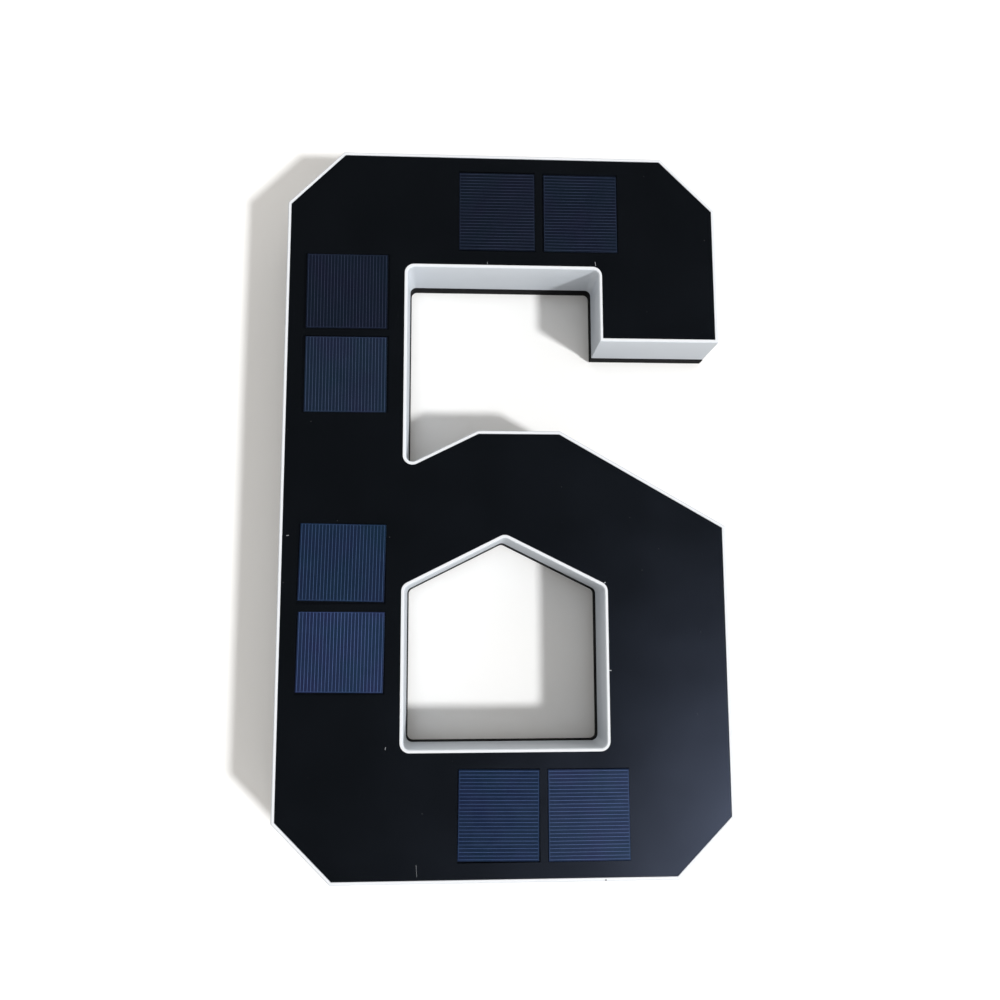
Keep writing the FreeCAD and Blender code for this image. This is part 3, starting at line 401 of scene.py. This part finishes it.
def blend_colours(tree, mask, low, high):
    """Mix two colours, or a socket and a colour, by a mask. Gives the mixed colour's socket."""
    node = add_node(tree, "ShaderNodeMix", data_type="RGBA")
    tree.links.new(mask, node.inputs["Factor"])
    for name, colour in (("A", low), ("B", high)):
        if isinstance(colour, tuple):
            node.inputs[name].default_value = (*colour, 1)
        else:
            tree.links.new(colour, node.inputs[name])
    return node.outputs["Result"]


def start_material(name):
    """A material with its shader and Object coordinates."""
    material = bpy.data.materials.new(name)
    material.use_nodes = True
    tree = material.node_tree
    tree.nodes.clear()
    shader = add_node(tree, "ShaderNodeBsdfPrincipled")
    out = add_node(tree, "ShaderNodeOutputMaterial")
    tree.links.new(shader.outputs["BSDF"], out.inputs["Surface"])
    place = add_node(tree, "ShaderNodeTexCoord")
    return material, tree, shader, place.outputs["Object"]


def add_bump(tree, shader, height, depth, normal=None):
    """Raise the surface by a height value, over its own normal or a rounded one."""
    bump = add_node(tree, "ShaderNodeBump", Strength=1.0, Distance=depth)
    tree.links.new(height, bump.inputs["Height"])
    if normal is not None:
        tree.links.new(normal, bump.inputs["Normal"])
    tree.links.new(bump.outputs["Normal"], shader.inputs["Normal"])


def moulded_plastic(name, low, high, roughness, grain=0.25, depth=0.01, edge=0.3,
                    worn_and_highlight=(0.3, 0.3, 0.3), wear=0.25, dust=0.02, specular=0.5, front=None):
    """Moulded plastic: two close tones, a fine grain, rubbed edges (on the white shell partly a painted edge
    highlight) and a little dust. Sizes in mm.
    front is a level and a colour: what lies in front of that level is painted that colour, a painted
    highlight."""
    material, tree, shader, place = start_material(name)
    skin = place_group(tree, grain_group, place, Grain_size=grain * MM)
    rub = place_group(tree, wear_and_highlight_group, place, Radius=edge * MM)
    specks = place_group(tree, dust_group, place, Amount=dust)
    tone = blend_colours(tree, skin.outputs["Mask"], low, high)
    # Painted highlight: what lies in front of the level gets the lighter colour.
    if front is not None:
        axes = add_node(tree, "ShaderNodeSeparateXYZ")
        tree.links.new(place, axes.inputs[0])
        highlight_mask = spread(tree, axes.outputs["Y"], 1.0, 0.0, (front[0] - 0.1) * MM, front[0] * MM)
        tone = blend_colours(tree, highlight_mask, tone, front[1])
    rubbed_and_highlight = spread(tree, rub.outputs["Mask"], 0.0, wear)
    tone = blend_colours(tree, rubbed_and_highlight, tone, worn_and_highlight)
    dusted = spread(tree, specks.outputs["Mask"], 0.0, DUST_COVER)
    tone = blend_colours(tree, dusted, tone, DUST_COLOUR)
    tree.links.new(tone, shader.inputs["Base Color"])
    rough = spread(tree, skin.outputs["Mask"], roughness - 0.05, roughness + 0.05, 0.3, 0.7)
    tree.links.new(rough, shader.inputs["Roughness"])
    shader.inputs["Specular IOR Level"].default_value = specular
    add_bump(tree, shader, skin.outputs["Height"], depth * MM, rub.outputs["Normal"])
    return material


def dress(material, *names):
    """Give CAD nodes their material."""
    for name in names:
        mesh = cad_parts[name].data
        mesh.materials.clear()
        mesh.materials.append(material)


# The shell's rubbed edges are painted lighter in patches: partly wear, partly a painted edge highlight.
shell_plastic = moulded_plastic(
    "white_diffuser", SHELL_LOW, SHELL_HIGH, 0.5, edge=0.15, worn_and_highlight=(0.80, 0.82, 0.84), wear=0.3,
    dust=0.0, front=RIM_FRONT_HIGHLIGHT)
dress(shell_plastic, "housing_shell")


def add_dirt_speck(material):
    """A grain of dirt, stuck to the rim at the foot of the figure."""
    tree = material.node_tree
    shader = next(node for node in tree.nodes if node.type == "BSDF_PRINCIPLED")
    plain = shader.inputs["Base Color"].links[0].from_socket
    place = add_node(tree, "ShaderNodeTexCoord")
    away = add_node(tree, "ShaderNodeVectorMath", operation="DISTANCE")
    away.inputs[1].default_value = Vector(DIRT_PLACE) * MM
    tree.links.new(place.outputs["Object"], away.inputs[0])
    near = spread(tree, away.outputs["Value"], 1.0, 0.0, DIRT_CORE * DIRT_RADIUS * MM, DIRT_RADIUS * MM)
    tree.links.new(blend_colours(tree, near, plain, DIRT_COLOUR), shader.inputs["Base Color"])


add_dirt_speck(shell_plastic)


# ---- Face panel ----
# The black front plate, bonded into the shell's recess. Acrylic with a satin back-printed face,
# cut to the figure with a fine gap to the rim.

FACE_LOW = (0.0012, 0.0016, 0.0015)
FACE_HIGH = (0.0018, 0.0023, 0.0022)
FACE_ROUGHNESS = (0.21, 0.25)
FACE_SPECULAR = 0.7
FACE_TINT = (0.56, 0.67, 1.0)
FACE_DUST = 0.03
FACE_DUST_COVER = 0.10
FACE_DUST_COLOUR = (0.3, 0.3, 0.3)
SMOOTH_DEPTH = 0.002 * MM    # of the grain on the face and the cells


def make_face_material():
    """Satin black acrylic with a little dust."""
    material, tree, shader, place = start_material("satin_black_face")
    skin = place_group(tree, grain_group, place, Grain_size=0.12 * MM)
    specks = place_group(tree, dust_group, place, Amount=FACE_DUST)
    tone = blend_colours(tree, skin.outputs["Mask"], FACE_LOW, FACE_HIGH)
    dusted = spread(tree, specks.outputs["Mask"], 0.0, FACE_DUST_COVER)
    tone = blend_colours(tree, dusted, tone, FACE_DUST_COLOUR)
    tree.links.new(tone, shader.inputs["Base Color"])
    rough = spread(tree, skin.outputs["Mask"], *FACE_ROUGHNESS, 0.3, 0.7)
    tree.links.new(rough, shader.inputs["Roughness"])
    shader.inputs["Specular IOR Level"].default_value = FACE_SPECULAR
    shader.inputs["Specular Tint"].default_value = (*FACE_TINT, 1)
    add_bump(tree, shader, skin.outputs["Height"], SMOOTH_DEPTH)
    return material


dress(make_face_material(), "face_panel")


# ---- Burrs on the face ----
# Thin white slivers of plastic and a loose thread, left beside the rim when the face was pressed in.
# They lie level with the black face.

# x, z, length and width in mm, and degrees of turn from lying level.
BURRS = [
    (-89.2, -14.9, 1.1, 0.20, 8), (-7.1, 103.2, 1.2, 0.14, 85), (39.8, 103.7, 1.8, 0.18, 98),
    (41.4, -34.3, 0.7, 0.40, 35), (43.0, -70.1, 1.0, 0.32, -4), (-48.2, -100.4, 1.1, 0.20, 80),
    (-35.4, -147.4, 4.6, 0.07, 94), (-92.0, 46.0, 0.5, 0.35, 70)]
BURR_HEIGHT = 0.06 * MM
BURR_LOW = (0.42, 0.44, 0.47)
BURR_HIGH = (0.55, 0.57, 0.6)
FACE_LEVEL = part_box("face_panel")[0].y


def add_box(shape, size, place):
    """Add a box of this size to a shape, put where the matrix says."""
    bmesh.ops.create_cube(shape, size=1.0, matrix=place @ Matrix.Diagonal((*size, 1)))


def add_piece(name, shape, material):
    """Make a shape into a new piece that rides on the sign."""
    mesh = bpy.data.meshes.new(name)
    shape.to_mesh(mesh)
    shape.free()
    mesh.materials.append(material)
    piece = bpy.data.objects.new(name, mesh)
    bpy.context.scene.collection.objects.link(piece)
    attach(piece, "root")
    return piece


def make_burrs():
    """All the slivers as one piece."""
    burrs = bmesh.new()
    level = FACE_LEVEL - BURR_HEIGHT / 2
    for x, z, length, width, turn in BURRS:
        turned = Matrix.Rotation(math.radians(-turn), 4, "Y")
        place = Matrix.Translation((x * MM, level, z * MM)) @ turned
        add_box(burrs, (length * MM, BURR_HEIGHT, width * MM), place)
    plastic = moulded_plastic("white_burrs", BURR_LOW, BURR_HIGH, 0.6, dust=0.0)
    add_piece("rim_burrs", burrs, plastic)


make_burrs()


# ---- Solar cells ----
# Eight small navy silicon cells, glued into pockets of the face, three of them a little askew. Each has
# 25 fine silver fingers, printed along the stroke that it lies on, under a clear film.

FINGER_COUNT = 25
FINGER_WIDTH = 0.15 * MM
FINGER_HEIGHT = 0.02 * MM
FINGER_MARGIN = 0.45 * MM
CELL_DROP = 0.02 * MM        # the cell's face below the panel's
CELL_BEVEL = 0.12 * MM
CELL_THICKNESS = 0.6 * MM
EDGE_LINE_WIDTH = 0.06 * MM
CELL_METAL = 0.3
CELL_ROUGHNESS = (0.34, 0.42)
CELL_SPECULAR = 0.3
CELL_TINT = (0.6, 0.72, 1.0)
CELL_CRYSTALS = 260.0        # per metre
CELL_CAST_SCALE = 70.0
CELL_LIGHTER = 1.05          # shares of the cell's colour
CELL_DARKER = 0.55
GREENER_CAST = (0.70, 1.12, 0.92)
REDDER_CAST = (1.35, 0.85, 1.10)
CAST_COVER = 0.7
CRYSTAL_COVER = 0.15
PRINT_LOW = (3.8, 0.004)     # the print's colour: a share of the cell's, and grey added
PRINT_HIGH = (6.5, 0.010)
# Middle x and z, width and height in mm, degrees of turn clockwise, and the cell's colour, partly its own
# tone and partly painted light: the lower cells are painted lighter.
CELLS_WITH_PAINTED_LIGHT = {
    "solar_cell_top_left": (-2.90, 126.70, 32.9, 35.2, 0.0, (0.0051, 0.0081, 0.0175)),
    "solar_cell_top_right": (33.50, 126.50, 32.2, 35.1, 0.0, (0.0050, 0.0085, 0.0191)),
    "solar_cell_stem_upper_1": (-66.95, 89.70, 34.3, 32.8, 0.0, (0.0053, 0.0087, 0.0191)),
    "solar_cell_stem_upper_2": (-66.90, 53.30, 34.3, 32.7, 0.0, (0.0096, 0.0168, 0.0354)),
    "solar_cell_stem_lower_1": (-66.85, -25.95, 35.1, 31.8, 1.1, (0.0078, 0.0182, 0.0440)),
    "solar_cell_stem_lower_2": (-66.90, -62.20, 35.1, 32.5, 0.8, (0.0127, 0.0244, 0.0617)),
    "solar_cell_base_left": (-2.85, -126.70, 32.5, 35.4, 0.7, (0.0043, 0.0121, 0.0357)),
    "solar_cell_base_right": (33.45, -127.00, 32.9, 35.6, 0.0, (0.0075, 0.0161, 0.0425)),
}


def make_cell_material(name, tone):
    """Silicon with faint crystals in a slightly lighter and a darker tone, under a clear film."""
    material, tree, shader, place = start_material(name)
    skin = place_group(tree, grain_group, place, Grain_size=0.5 * MM)
    crystal = add_node(tree, "ShaderNodeTexVoronoi", Scale=CELL_CRYSTALS)
    tree.links.new(place, crystal.inputs["Vector"])
    facet = add_node(tree, "ShaderNodeSeparateColor")
    tree.links.new(crystal.outputs["Color"], facet.inputs["Color"])
    lighter = tuple(part * CELL_LIGHTER for part in tone)
    darker = tuple(part * CELL_DARKER for part in tone)
    colour = blend_colours(tree, skin.outputs["Mask"], tone, lighter)
    cast = add_node(tree, "ShaderNodeTexNoise", Scale=CELL_CAST_SCALE, Detail=2.0)
    tree.links.new(place, cast.inputs["Vector"])
    greener = tuple(part * share for part, share in zip(tone, GREENER_CAST))
    redder = tuple(part * share for part, share in zip(tone, REDDER_CAST))
    for change, end in ((greener, 0.3), (redder, 0.7)):
        mask = spread(tree, cast.outputs["Fac"], 0.0, CAST_COVER, 0.5, end)
        colour = blend_colours(tree, mask, colour, change)
    mask = spread(tree, facet.outputs["Green"], 0.0, CRYSTAL_COVER)
    colour = blend_colours(tree, mask, colour, darker)
    tree.links.new(colour, shader.inputs["Base Color"])
    shader.inputs["Metallic"].default_value = CELL_METAL
    tree.links.new(spread(tree, facet.outputs["Red"], *CELL_ROUGHNESS), shader.inputs["Roughness"])
    shader.inputs["Specular IOR Level"].default_value = CELL_SPECULAR
    shader.inputs["Specular Tint"].default_value = (*CELL_TINT, 1)
    add_bump(tree, shader, skin.outputs["Height"], SMOOTH_DEPTH)
    return material


def make_finger_material(name, tone):
    """Printed silver, dulled by the film: a paler cast of the cell's colour, and so of that cell's painted
    light too.
    """
    material, tree, shader, place = start_material(name)
    skin = place_group(tree, grain_group, place, Grain_size=0.2 * MM)
    low, high = (tuple(part * share + grey for part in tone) for share, grey in (PRINT_LOW, PRINT_HIGH))
    tree.links.new(blend_colours(tree, skin.outputs["Mask"], low, high), shader.inputs["Base Color"])
    shader.inputs["Metallic"].default_value = CELL_METAL
    tree.links.new(spread(tree, skin.outputs["Mask"], 0.45, 0.6, 0.3, 0.7), shader.inputs["Roughness"])
    add_bump(tree, shader, skin.outputs["Height"], SMOOTH_DEPTH)
    return material


def make_cell(node, x, z, width, height, turn, tone):
    """One cell and its fingers, which run along the shorter side of the cell's pocket."""
    turned = Matrix.Rotation(math.radians(turn), 4, "Y")
    place = Matrix.Translation((x * MM, FACE_LEVEL + CELL_DROP, z * MM)) @ turned
    cell = bmesh.new()
    size = (width * MM, CELL_THICKNESS, height * MM)
    add_box(cell, size, Matrix.Translation((0, CELL_THICKNESS / 2, 0)))
    front = [edge for edge in cell.edges if all(abs(point.co.y) < 0.01 * MM for point in edge.verts)]
    bmesh.ops.bevel(cell, geom=front, offset=CELL_BEVEL, affect="EDGES", segments=2, profile=0.5,
                    material=-1)
    bmesh.ops.transform(cell, matrix=place, verts=cell.verts)
    silicon = make_cell_material(node + "_silicon", tone)
    piece = add_piece(node.replace("solar_cell", "cell"), cell, silicon)
    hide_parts(node)

    low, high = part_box(node)
    upright = high.x - low.x > high.z - low.z
    span, reach = (width, height) if upright else (height, width)
    along, across = Vector((1, 0, 0)), Vector((0, 0, 1))
    if not upright:
        along, across = across, along
    span, reach = span * MM, reach * MM - 2 * FINGER_MARGIN
    raised = Vector((0, FINGER_HEIGHT, 0))
    lines = bmesh.new()
    size = along * FINGER_WIDTH + across * reach + raised
    for index in range(FINGER_COUNT):
        offset = along * span * ((index + 0.5) / FINGER_COUNT - 0.5) - raised / 2
        add_box(lines, size, Matrix.Translation(offset))
    size = along * (span - 2 * FINGER_MARGIN) + across * EDGE_LINE_WIDTH + raised
    for side in (-1, 1):
        offset = across * side * (reach + EDGE_LINE_WIDTH) / 2 - raised / 2
        add_box(lines, size, Matrix.Translation(offset))
    bmesh.ops.transform(lines, matrix=place, verts=lines.verts)
    silver = make_finger_material(node + "_print", tone)
    add_piece(node.replace("solar_cell", "cell_fingers"), lines, silver)


# Each cell's colour carries painted light: the lower cells are painted lighter.
for cell_node, cell_look_and_light in CELLS_WITH_PAINTED_LIGHT.items():
    make_cell(cell_node, *cell_look_and_light)


# ---- Back cover ----
# The black cover that closes the housing, screwed on from behind. Moulded plastic with a fine
# spark-eroded grain; its edge shows as a thin black line under the white walls.

COVER_SPECULAR = (0.12, 0.35)    # edges, back face

cover_plastic = moulded_plastic(
    "black_cover", (0.005, 0.005, 0.006), (0.009, 0.009, 0.010), 0.62, grain=0.6, depth=0.06, edge=0.5,
    worn_and_highlight=(0.05, 0.05, 0.05), wear=0.35, dust=0.04, specular=COVER_SPECULAR[0])
dress(cover_plastic, "back_cover")


def add_back_sheen(material):
    """The back's flat face shines more than the edges that are seen from the front."""
    tree = material.node_tree
    shader = next(node for node in tree.nodes if node.type == "BSDF_PRINCIPLED")
    surface = add_node(tree, "ShaderNodeNewGeometry")
    axes = add_node(tree, "ShaderNodeSeparateXYZ")
    tree.links.new(surface.outputs["True Normal"], axes.inputs[0])
    sheen = spread(tree, axes.outputs["Y"], *COVER_SPECULAR, 0.3, 0.9)
    tree.links.new(sheen, shader.inputs["Specular IOR Level"])


add_back_sheen(cover_plastic)


# ---- Foot bead ----
# The thin black bead of the cover that stands out at the foot of the white walls, all round the
# counter and along the notch and the arm. Moulded in one with the cover.

BEAD_REACH = 0.35            # out of the wall, in mm
BEAD_ROOT = 0.20             # into the wall
BEAD_LEVELS = (-5.3, -0.05)  # its front and its back
BEAD_CORNER_RADIUS = 2.7
BEAD_CORNER_STEPS = 5
# Corners of the walls in mm, with the opening to the left of the way that they are listed.
COUNTER_WALLS = [(-41.25, -101.0), (41.25, -101.0), (41.25, -36.125), (0.0, -15.5), (-41.25, -36.125)]
NOTCH_WALLS = [(92.7, 69.0), (41.25, 69.0), (41.25, 101.0), (-41.25, 101.0), (-41.25, 14.5), (-11.25, 29.5)]


def bead_path(corners, offset, closed):
    """The walls' corners moved sideways by offset, the inner corners rounded."""
    path = []
    count = len(corners)
    for index, corner in enumerate(corners):
        here = Vector(corner)
        first, last = index == 0 and not closed, index == count - 1 and not closed
        before = None if first else (here - Vector(corners[index - 1])).normalized()
        after = None if last else (Vector(corners[(index + 1) % count]) - here).normalized()
        if first or last:
            way = after or before
            path.append(here + Vector((-way.y, way.x)) * offset)
            continue
        turn = before.x * after.y - before.y * after.x
        radius = BEAD_CORNER_RADIUS - offset if turn > 0 else 0.0
        half = math.atan2(turn, before.dot(after)) / 2
        both_sides = Vector((-before.y, before.x)) + Vector((-after.y, after.x))
        miter = here + both_sides * offset / (1 + before.dot(after))
        if radius <= 0:
            path.append(miter)
            continue
        tangent = radius * abs(math.tan(half))
        start, side = miter - before * tangent, Vector((-before.y, before.x))
        centre = start + side * radius
        for step in range(BEAD_CORNER_STEPS + 1):
            angle = 2 * half * step / BEAD_CORNER_STEPS
            spoke = -side * radius
            path.append(centre + Vector((spoke.x * math.cos(angle) - spoke.y * math.sin(angle),
                                         spoke.x * math.sin(angle) + spoke.y * math.cos(angle))))
    return path


def add_bead(mesh, corners, closed):
    """A band of rectangular section along the walls, capped where it ends."""
    outside, inside = (bead_path(corners, offset, closed) for offset in (BEAD_REACH, -BEAD_ROOT))
    rows = []
    for out, root in zip(outside, inside):
        rows.append([mesh.verts.new((point.x * MM, level * MM, point.y * MM))
                     for point, level in ((out, BEAD_LEVELS[0]), (out, BEAD_LEVELS[1]),
                                          (root, BEAD_LEVELS[1]), (root, BEAD_LEVELS[0]))])
    pairs = list(zip(rows, rows[1:])) + ([(rows[-1], rows[0])] if closed else [])
    for first, second in pairs:
        for side in range(4):
            mesh.faces.new((first[side - 1], first[side], second[side], second[side - 1]))
    if not closed:
        mesh.faces.new(rows[0])
        mesh.faces.new(rows[-1])


def make_foot_bead():
    """Both lengths of the bead as one piece, of the cover's plastic."""
    bead = bmesh.new()
    add_bead(bead, COUNTER_WALLS, True)
    add_bead(bead, NOTCH_WALLS, False)
    bmesh.ops.recalc_face_normals(bead, faces=bead.faces)
    add_piece("cover_foot_bead", bead, cover_plastic)


make_foot_bead()


# ---- Seals and bonding film ----
# Silicone strips between the cover and the shell, and the ring round the button's stem, all moulded and
# held by pressure. The film under the face is double-sided and cut to the panel.

seal_rubber = moulded_plastic(
    "silicone_seal", (0.03, 0.03, 0.032), (0.04, 0.04, 0.042), 0.7, grain=0.15, dust=0.0)
bonding_film = moulded_plastic(
    "bonding_film", (0.10, 0.10, 0.10), (0.14, 0.14, 0.14), 0.6, grain=0.4, dust=0.0)
dress(seal_rubber, "cover_gasket_outer", "cover_gasket_inner", "button_seal")
dress(bonding_film, "panel_adhesive")


# ---- Screws, wires and contacts ----
# Small stainless screws hold the board and the battery holder. Tinned copper wire, soldered to pins,
# joins the cells, and plated leaves, pressed from strip, hold the battery.

METAL_BRUSHING = 0.08        # size of the drawn marks, in mm
METAL_STRETCH = (1.0, 0.15, 1.0)
METAL_EDGE = 0.12
METAL_DEPTH = 0.003


def bare_metal(name, low, high, roughness):
    """Bare metal with fine marks, drawn out from front to back."""
    material, tree, shader, place = start_material(name)
    stretch = add_node(tree, "ShaderNodeMapping")
    stretch.inputs["Scale"].default_value = METAL_STRETCH
    tree.links.new(place, stretch.inputs["Vector"])
    skin = place_group(tree, grain_group, stretch.outputs["Vector"], Grain_size=METAL_BRUSHING * MM)
    rub = place_group(tree, wear_and_highlight_group, place, Radius=METAL_EDGE * MM)
    tone = blend_colours(tree, skin.outputs["Mask"], low, high)
    tree.links.new(tone, shader.inputs["Base Color"])
    shader.inputs["Metallic"].default_value = 1.0
    rough = spread(tree, skin.outputs["Height"], roughness - 0.08, roughness + 0.08, 0.3, 0.7)
    tree.links.new(rough, shader.inputs["Roughness"])
    add_bump(tree, shader, skin.outputs["Height"], METAL_DEPTH * MM, rub.outputs["Normal"])
    return material


screw_steel = bare_metal("stainless_screws", (0.52, 0.52, 0.53), (0.62, 0.62, 0.63), 0.32)
tinned_copper = bare_metal("tinned_copper", (0.66, 0.66, 0.64), (0.74, 0.74, 0.72), 0.3)
contact_plate = bare_metal("plated_contacts", (0.66, 0.65, 0.60), (0.74, 0.73, 0.68), 0.25)
dress(screw_steel, "board_screws", "holder_screws")
dress(tinned_copper, "cell_pins", "panel_bus_outer", "panel_bus_inner")
dress(contact_plate, "battery_contacts")


# ---- Cover screws ----
# Ten stainless pan-head screws, sunk in counterbores of the back cover, each with a cross recess and
# left at whatever turn it came tight.

# x and z in mm.
SCREW_PLACES = [
    (-73.25, -133.0), (73.25, -133.0), (-73.25, 133.0), (73.25, 133.0), (0.0, -143.0),
    (0.0, 143.0), (-83.25, 13.5), (83.25, 78.5), (83.25, -23.01), (31.4, 13.94)]
# Distance from the axis and depth below the cover's back, in mm, from the crown to the tip.
CROWN = (1.75, 0.40)
SCREW_PROFILE = [
    CROWN, (2.05, 0.45), (2.35, 0.58), (2.57, 0.82), (2.68, 1.15), (2.70, 1.6), (2.66, 2.12),
    (2.58, 2.2), (1.45, 2.2), (1.45, 11.1), (0.7, 12.1)]
SCREW_SIDES = 40
CROSS_HALF_LENGTH = 1.45
CROSS_HALF_WIDTH = 0.36
CROSS_DEPTH = 1.1
CROSS_TAPER = 0.55           # width of the recess's floor, as a share of its mouth


def screw_ring(mesh, radius, depth, turn):
    """A ring of points round the screw's axis."""
    angles = [turn + 2 * math.pi * index / SCREW_SIDES for index in range(SCREW_SIDES)]
    return [mesh.verts.new((radius * math.cos(angle), -depth, radius * math.sin(angle))) for angle in angles]


def cross_outline(mesh, scale, depth, turn):
    """The twelve corners of a cross recess, in order round it."""
    long, short = CROSS_HALF_LENGTH * scale, CROSS_HALF_WIDTH * scale
    points = []
    for quarter in range(4):
        spin = Matrix.Rotation(turn + quarter * math.pi / 2, 3, "Y")
        for x, z in ((long, -short), (long, short), (short, short)):
            points.append(mesh.verts.new(spin @ Vector((x, -depth, z))))
    return points


def join_rings(mesh, first, second):
    """Four-sided faces between two rings of as many points."""
    for index in range(len(first)):
        mesh.faces.new((first[index - 1], first[index], second[index], second[index - 1]))


def make_one_screw(screw, turn):
    """The head, the shank and the cross recess, in mm, on the axis."""
    rings = [screw_ring(screw, radius, depth, turn) for radius, depth in SCREW_PROFILE]
    for first, second in zip(rings, rings[1:]):
        join_rings(screw, first, second)
    screw.faces.new(rings[-1])
    mouth = cross_outline(screw, 1.0, CROWN[1], turn)
    floor = cross_outline(screw, CROSS_TAPER, CROWN[1] + CROSS_DEPTH, turn)
    edges = [screw.edges.get((rings[0][index - 1], rings[0][index])) for index in range(SCREW_SIDES)]
    edges += [screw.edges.new((mouth[index - 1], mouth[index])) for index in range(len(mouth))]
    bmesh.ops.triangle_fill(screw, use_beauty=True, use_dissolve=False, edges=edges, normal=(0, 1, 0))
    join_rings(screw, mouth, floor)
    screw.faces.new(floor)
    bmesh.ops.recalc_face_normals(screw, faces=screw.faces)


def make_screws():
    """The ten screws as one piece."""
    screws = bmesh.new()
    for x, z in SCREW_PLACES:
        screw = bmesh.new()
        make_one_screw(screw, random.uniform(0, math.pi / 2))
        place = Matrix.Translation((x * MM, 0, z * MM)) @ Matrix.Scale(MM, 4)
        bmesh.ops.transform(screw, matrix=place, verts=screw.verts)
        for face in screw.faces:
            face.smooth = len(face.verts) == 4 and face.normal.y < 0.99
        single = bpy.data.meshes.new("one_screw")
        screw.to_mesh(single)
        screw.free()
        screws.from_mesh(single)
        bpy.data.meshes.remove(single)
    piece = add_piece("pan_head_screws", screws, screw_steel)
    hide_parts("cover_screws")


random.seed(6)
make_screws()


# ---- Button and switch ----
# The round push button in its cup on the back, moulded in black plastic, which slides in and presses the
# switch on the board. The board's other black parts and the battery holder are moulded too.

button_plastic = moulded_plastic(
    "black_button", (0.02, 0.02, 0.022), (0.028, 0.028, 0.03), 0.42, grain=0.2, edge=0.4,
    worn_and_highlight=(0.12, 0.12, 0.12), dust=0.03)
part_plastic = moulded_plastic(
    "black_components", (0.02, 0.02, 0.02), (0.035, 0.035, 0.035), 0.5, grain=0.15)
dress(button_plastic, "button_cap")
dress(part_plastic, "switch_body", "switch_plunger", "controller_chip", "inductor", "battery_holder")


# ---- Light strips and control board ----
# Narrow glass-fibre boards with white-light LEDs along every stroke, and the board that charges and
# switches them. Flat leads join the strips, and soft wires run to the board and the battery.

BOARD_LOW = (0.006, 0.075, 0.022)
BOARD_HIGH = (0.010, 0.095, 0.030)
TRACK_COLOUR = (0.03, 0.20, 0.07)
TRACK_COVER = 0.35
TRACKS = 180.0               # per metre
TRACK_WIDTH = 0.03


def make_board_material():
    """Green solder mask with copper tracks showing faintly through it."""
    material, tree, shader, place = start_material("green_solder_mask")
    skin = place_group(tree, grain_group, place, Grain_size=0.3 * MM)
    tracks = add_node(tree, "ShaderNodeTexBrick", Scale=TRACKS)
    tracks.inputs["Mortar Size"].default_value = TRACK_WIDTH
    tree.links.new(place, tracks.inputs["Vector"])
    lines = spread(tree, tracks.outputs["Fac"], 0.0, TRACK_COVER)
    tone = blend_colours(tree, skin.outputs["Mask"], BOARD_LOW, BOARD_HIGH)
    tone = blend_colours(tree, lines, tone, TRACK_COLOUR)
    tree.links.new(tone, shader.inputs["Base Color"])
    rough = spread(tree, skin.outputs["Mask"], 0.25, 0.35, 0.3, 0.7)
    tree.links.new(rough, shader.inputs["Roughness"])
    add_bump(tree, shader, skin.outputs["Height"], 0.004 * MM)
    return material


STRIPS = [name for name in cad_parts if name.startswith("led_strip_")]
led_body = moulded_plastic(
    "led_phosphor", (0.75, 0.62, 0.18), (0.85, 0.72, 0.25), 0.3, grain=0.2, dust=0.0)
connector_nylon = moulded_plastic(
    "connector_nylon", (0.70, 0.68, 0.60), (0.76, 0.74, 0.66), 0.45, dust=0.0)
lead_rubber = moulded_plastic(
    "lead_insulation", (0.22, 0.012, 0.010), (0.28, 0.018, 0.014), 0.45, dust=0.0)
can_metal = bare_metal("aluminium_can", (0.66, 0.66, 0.67), (0.74, 0.74, 0.75), 0.28)
dress(make_board_material(), "control_board", *STRIPS)
dress(led_body, "led_packages")
dress(connector_nylon, "board_connectors", "led_jumpers")
dress(lead_rubber, "battery_leads", "panel_leads", "led_leads")
dress(can_metal, "capacitors")


# ---- Battery ----
# A standard round lithium cell in a plain blue shrink sleeve. It lies in the holder inside the bowl,
# held between the contacts.

sleeve = moulded_plastic(
    "battery_sleeve", (0.015, 0.06, 0.20), (0.02, 0.08, 0.25), 0.28, grain=0.6, dust=0.0)
dress(sleeve, "battery_cell")
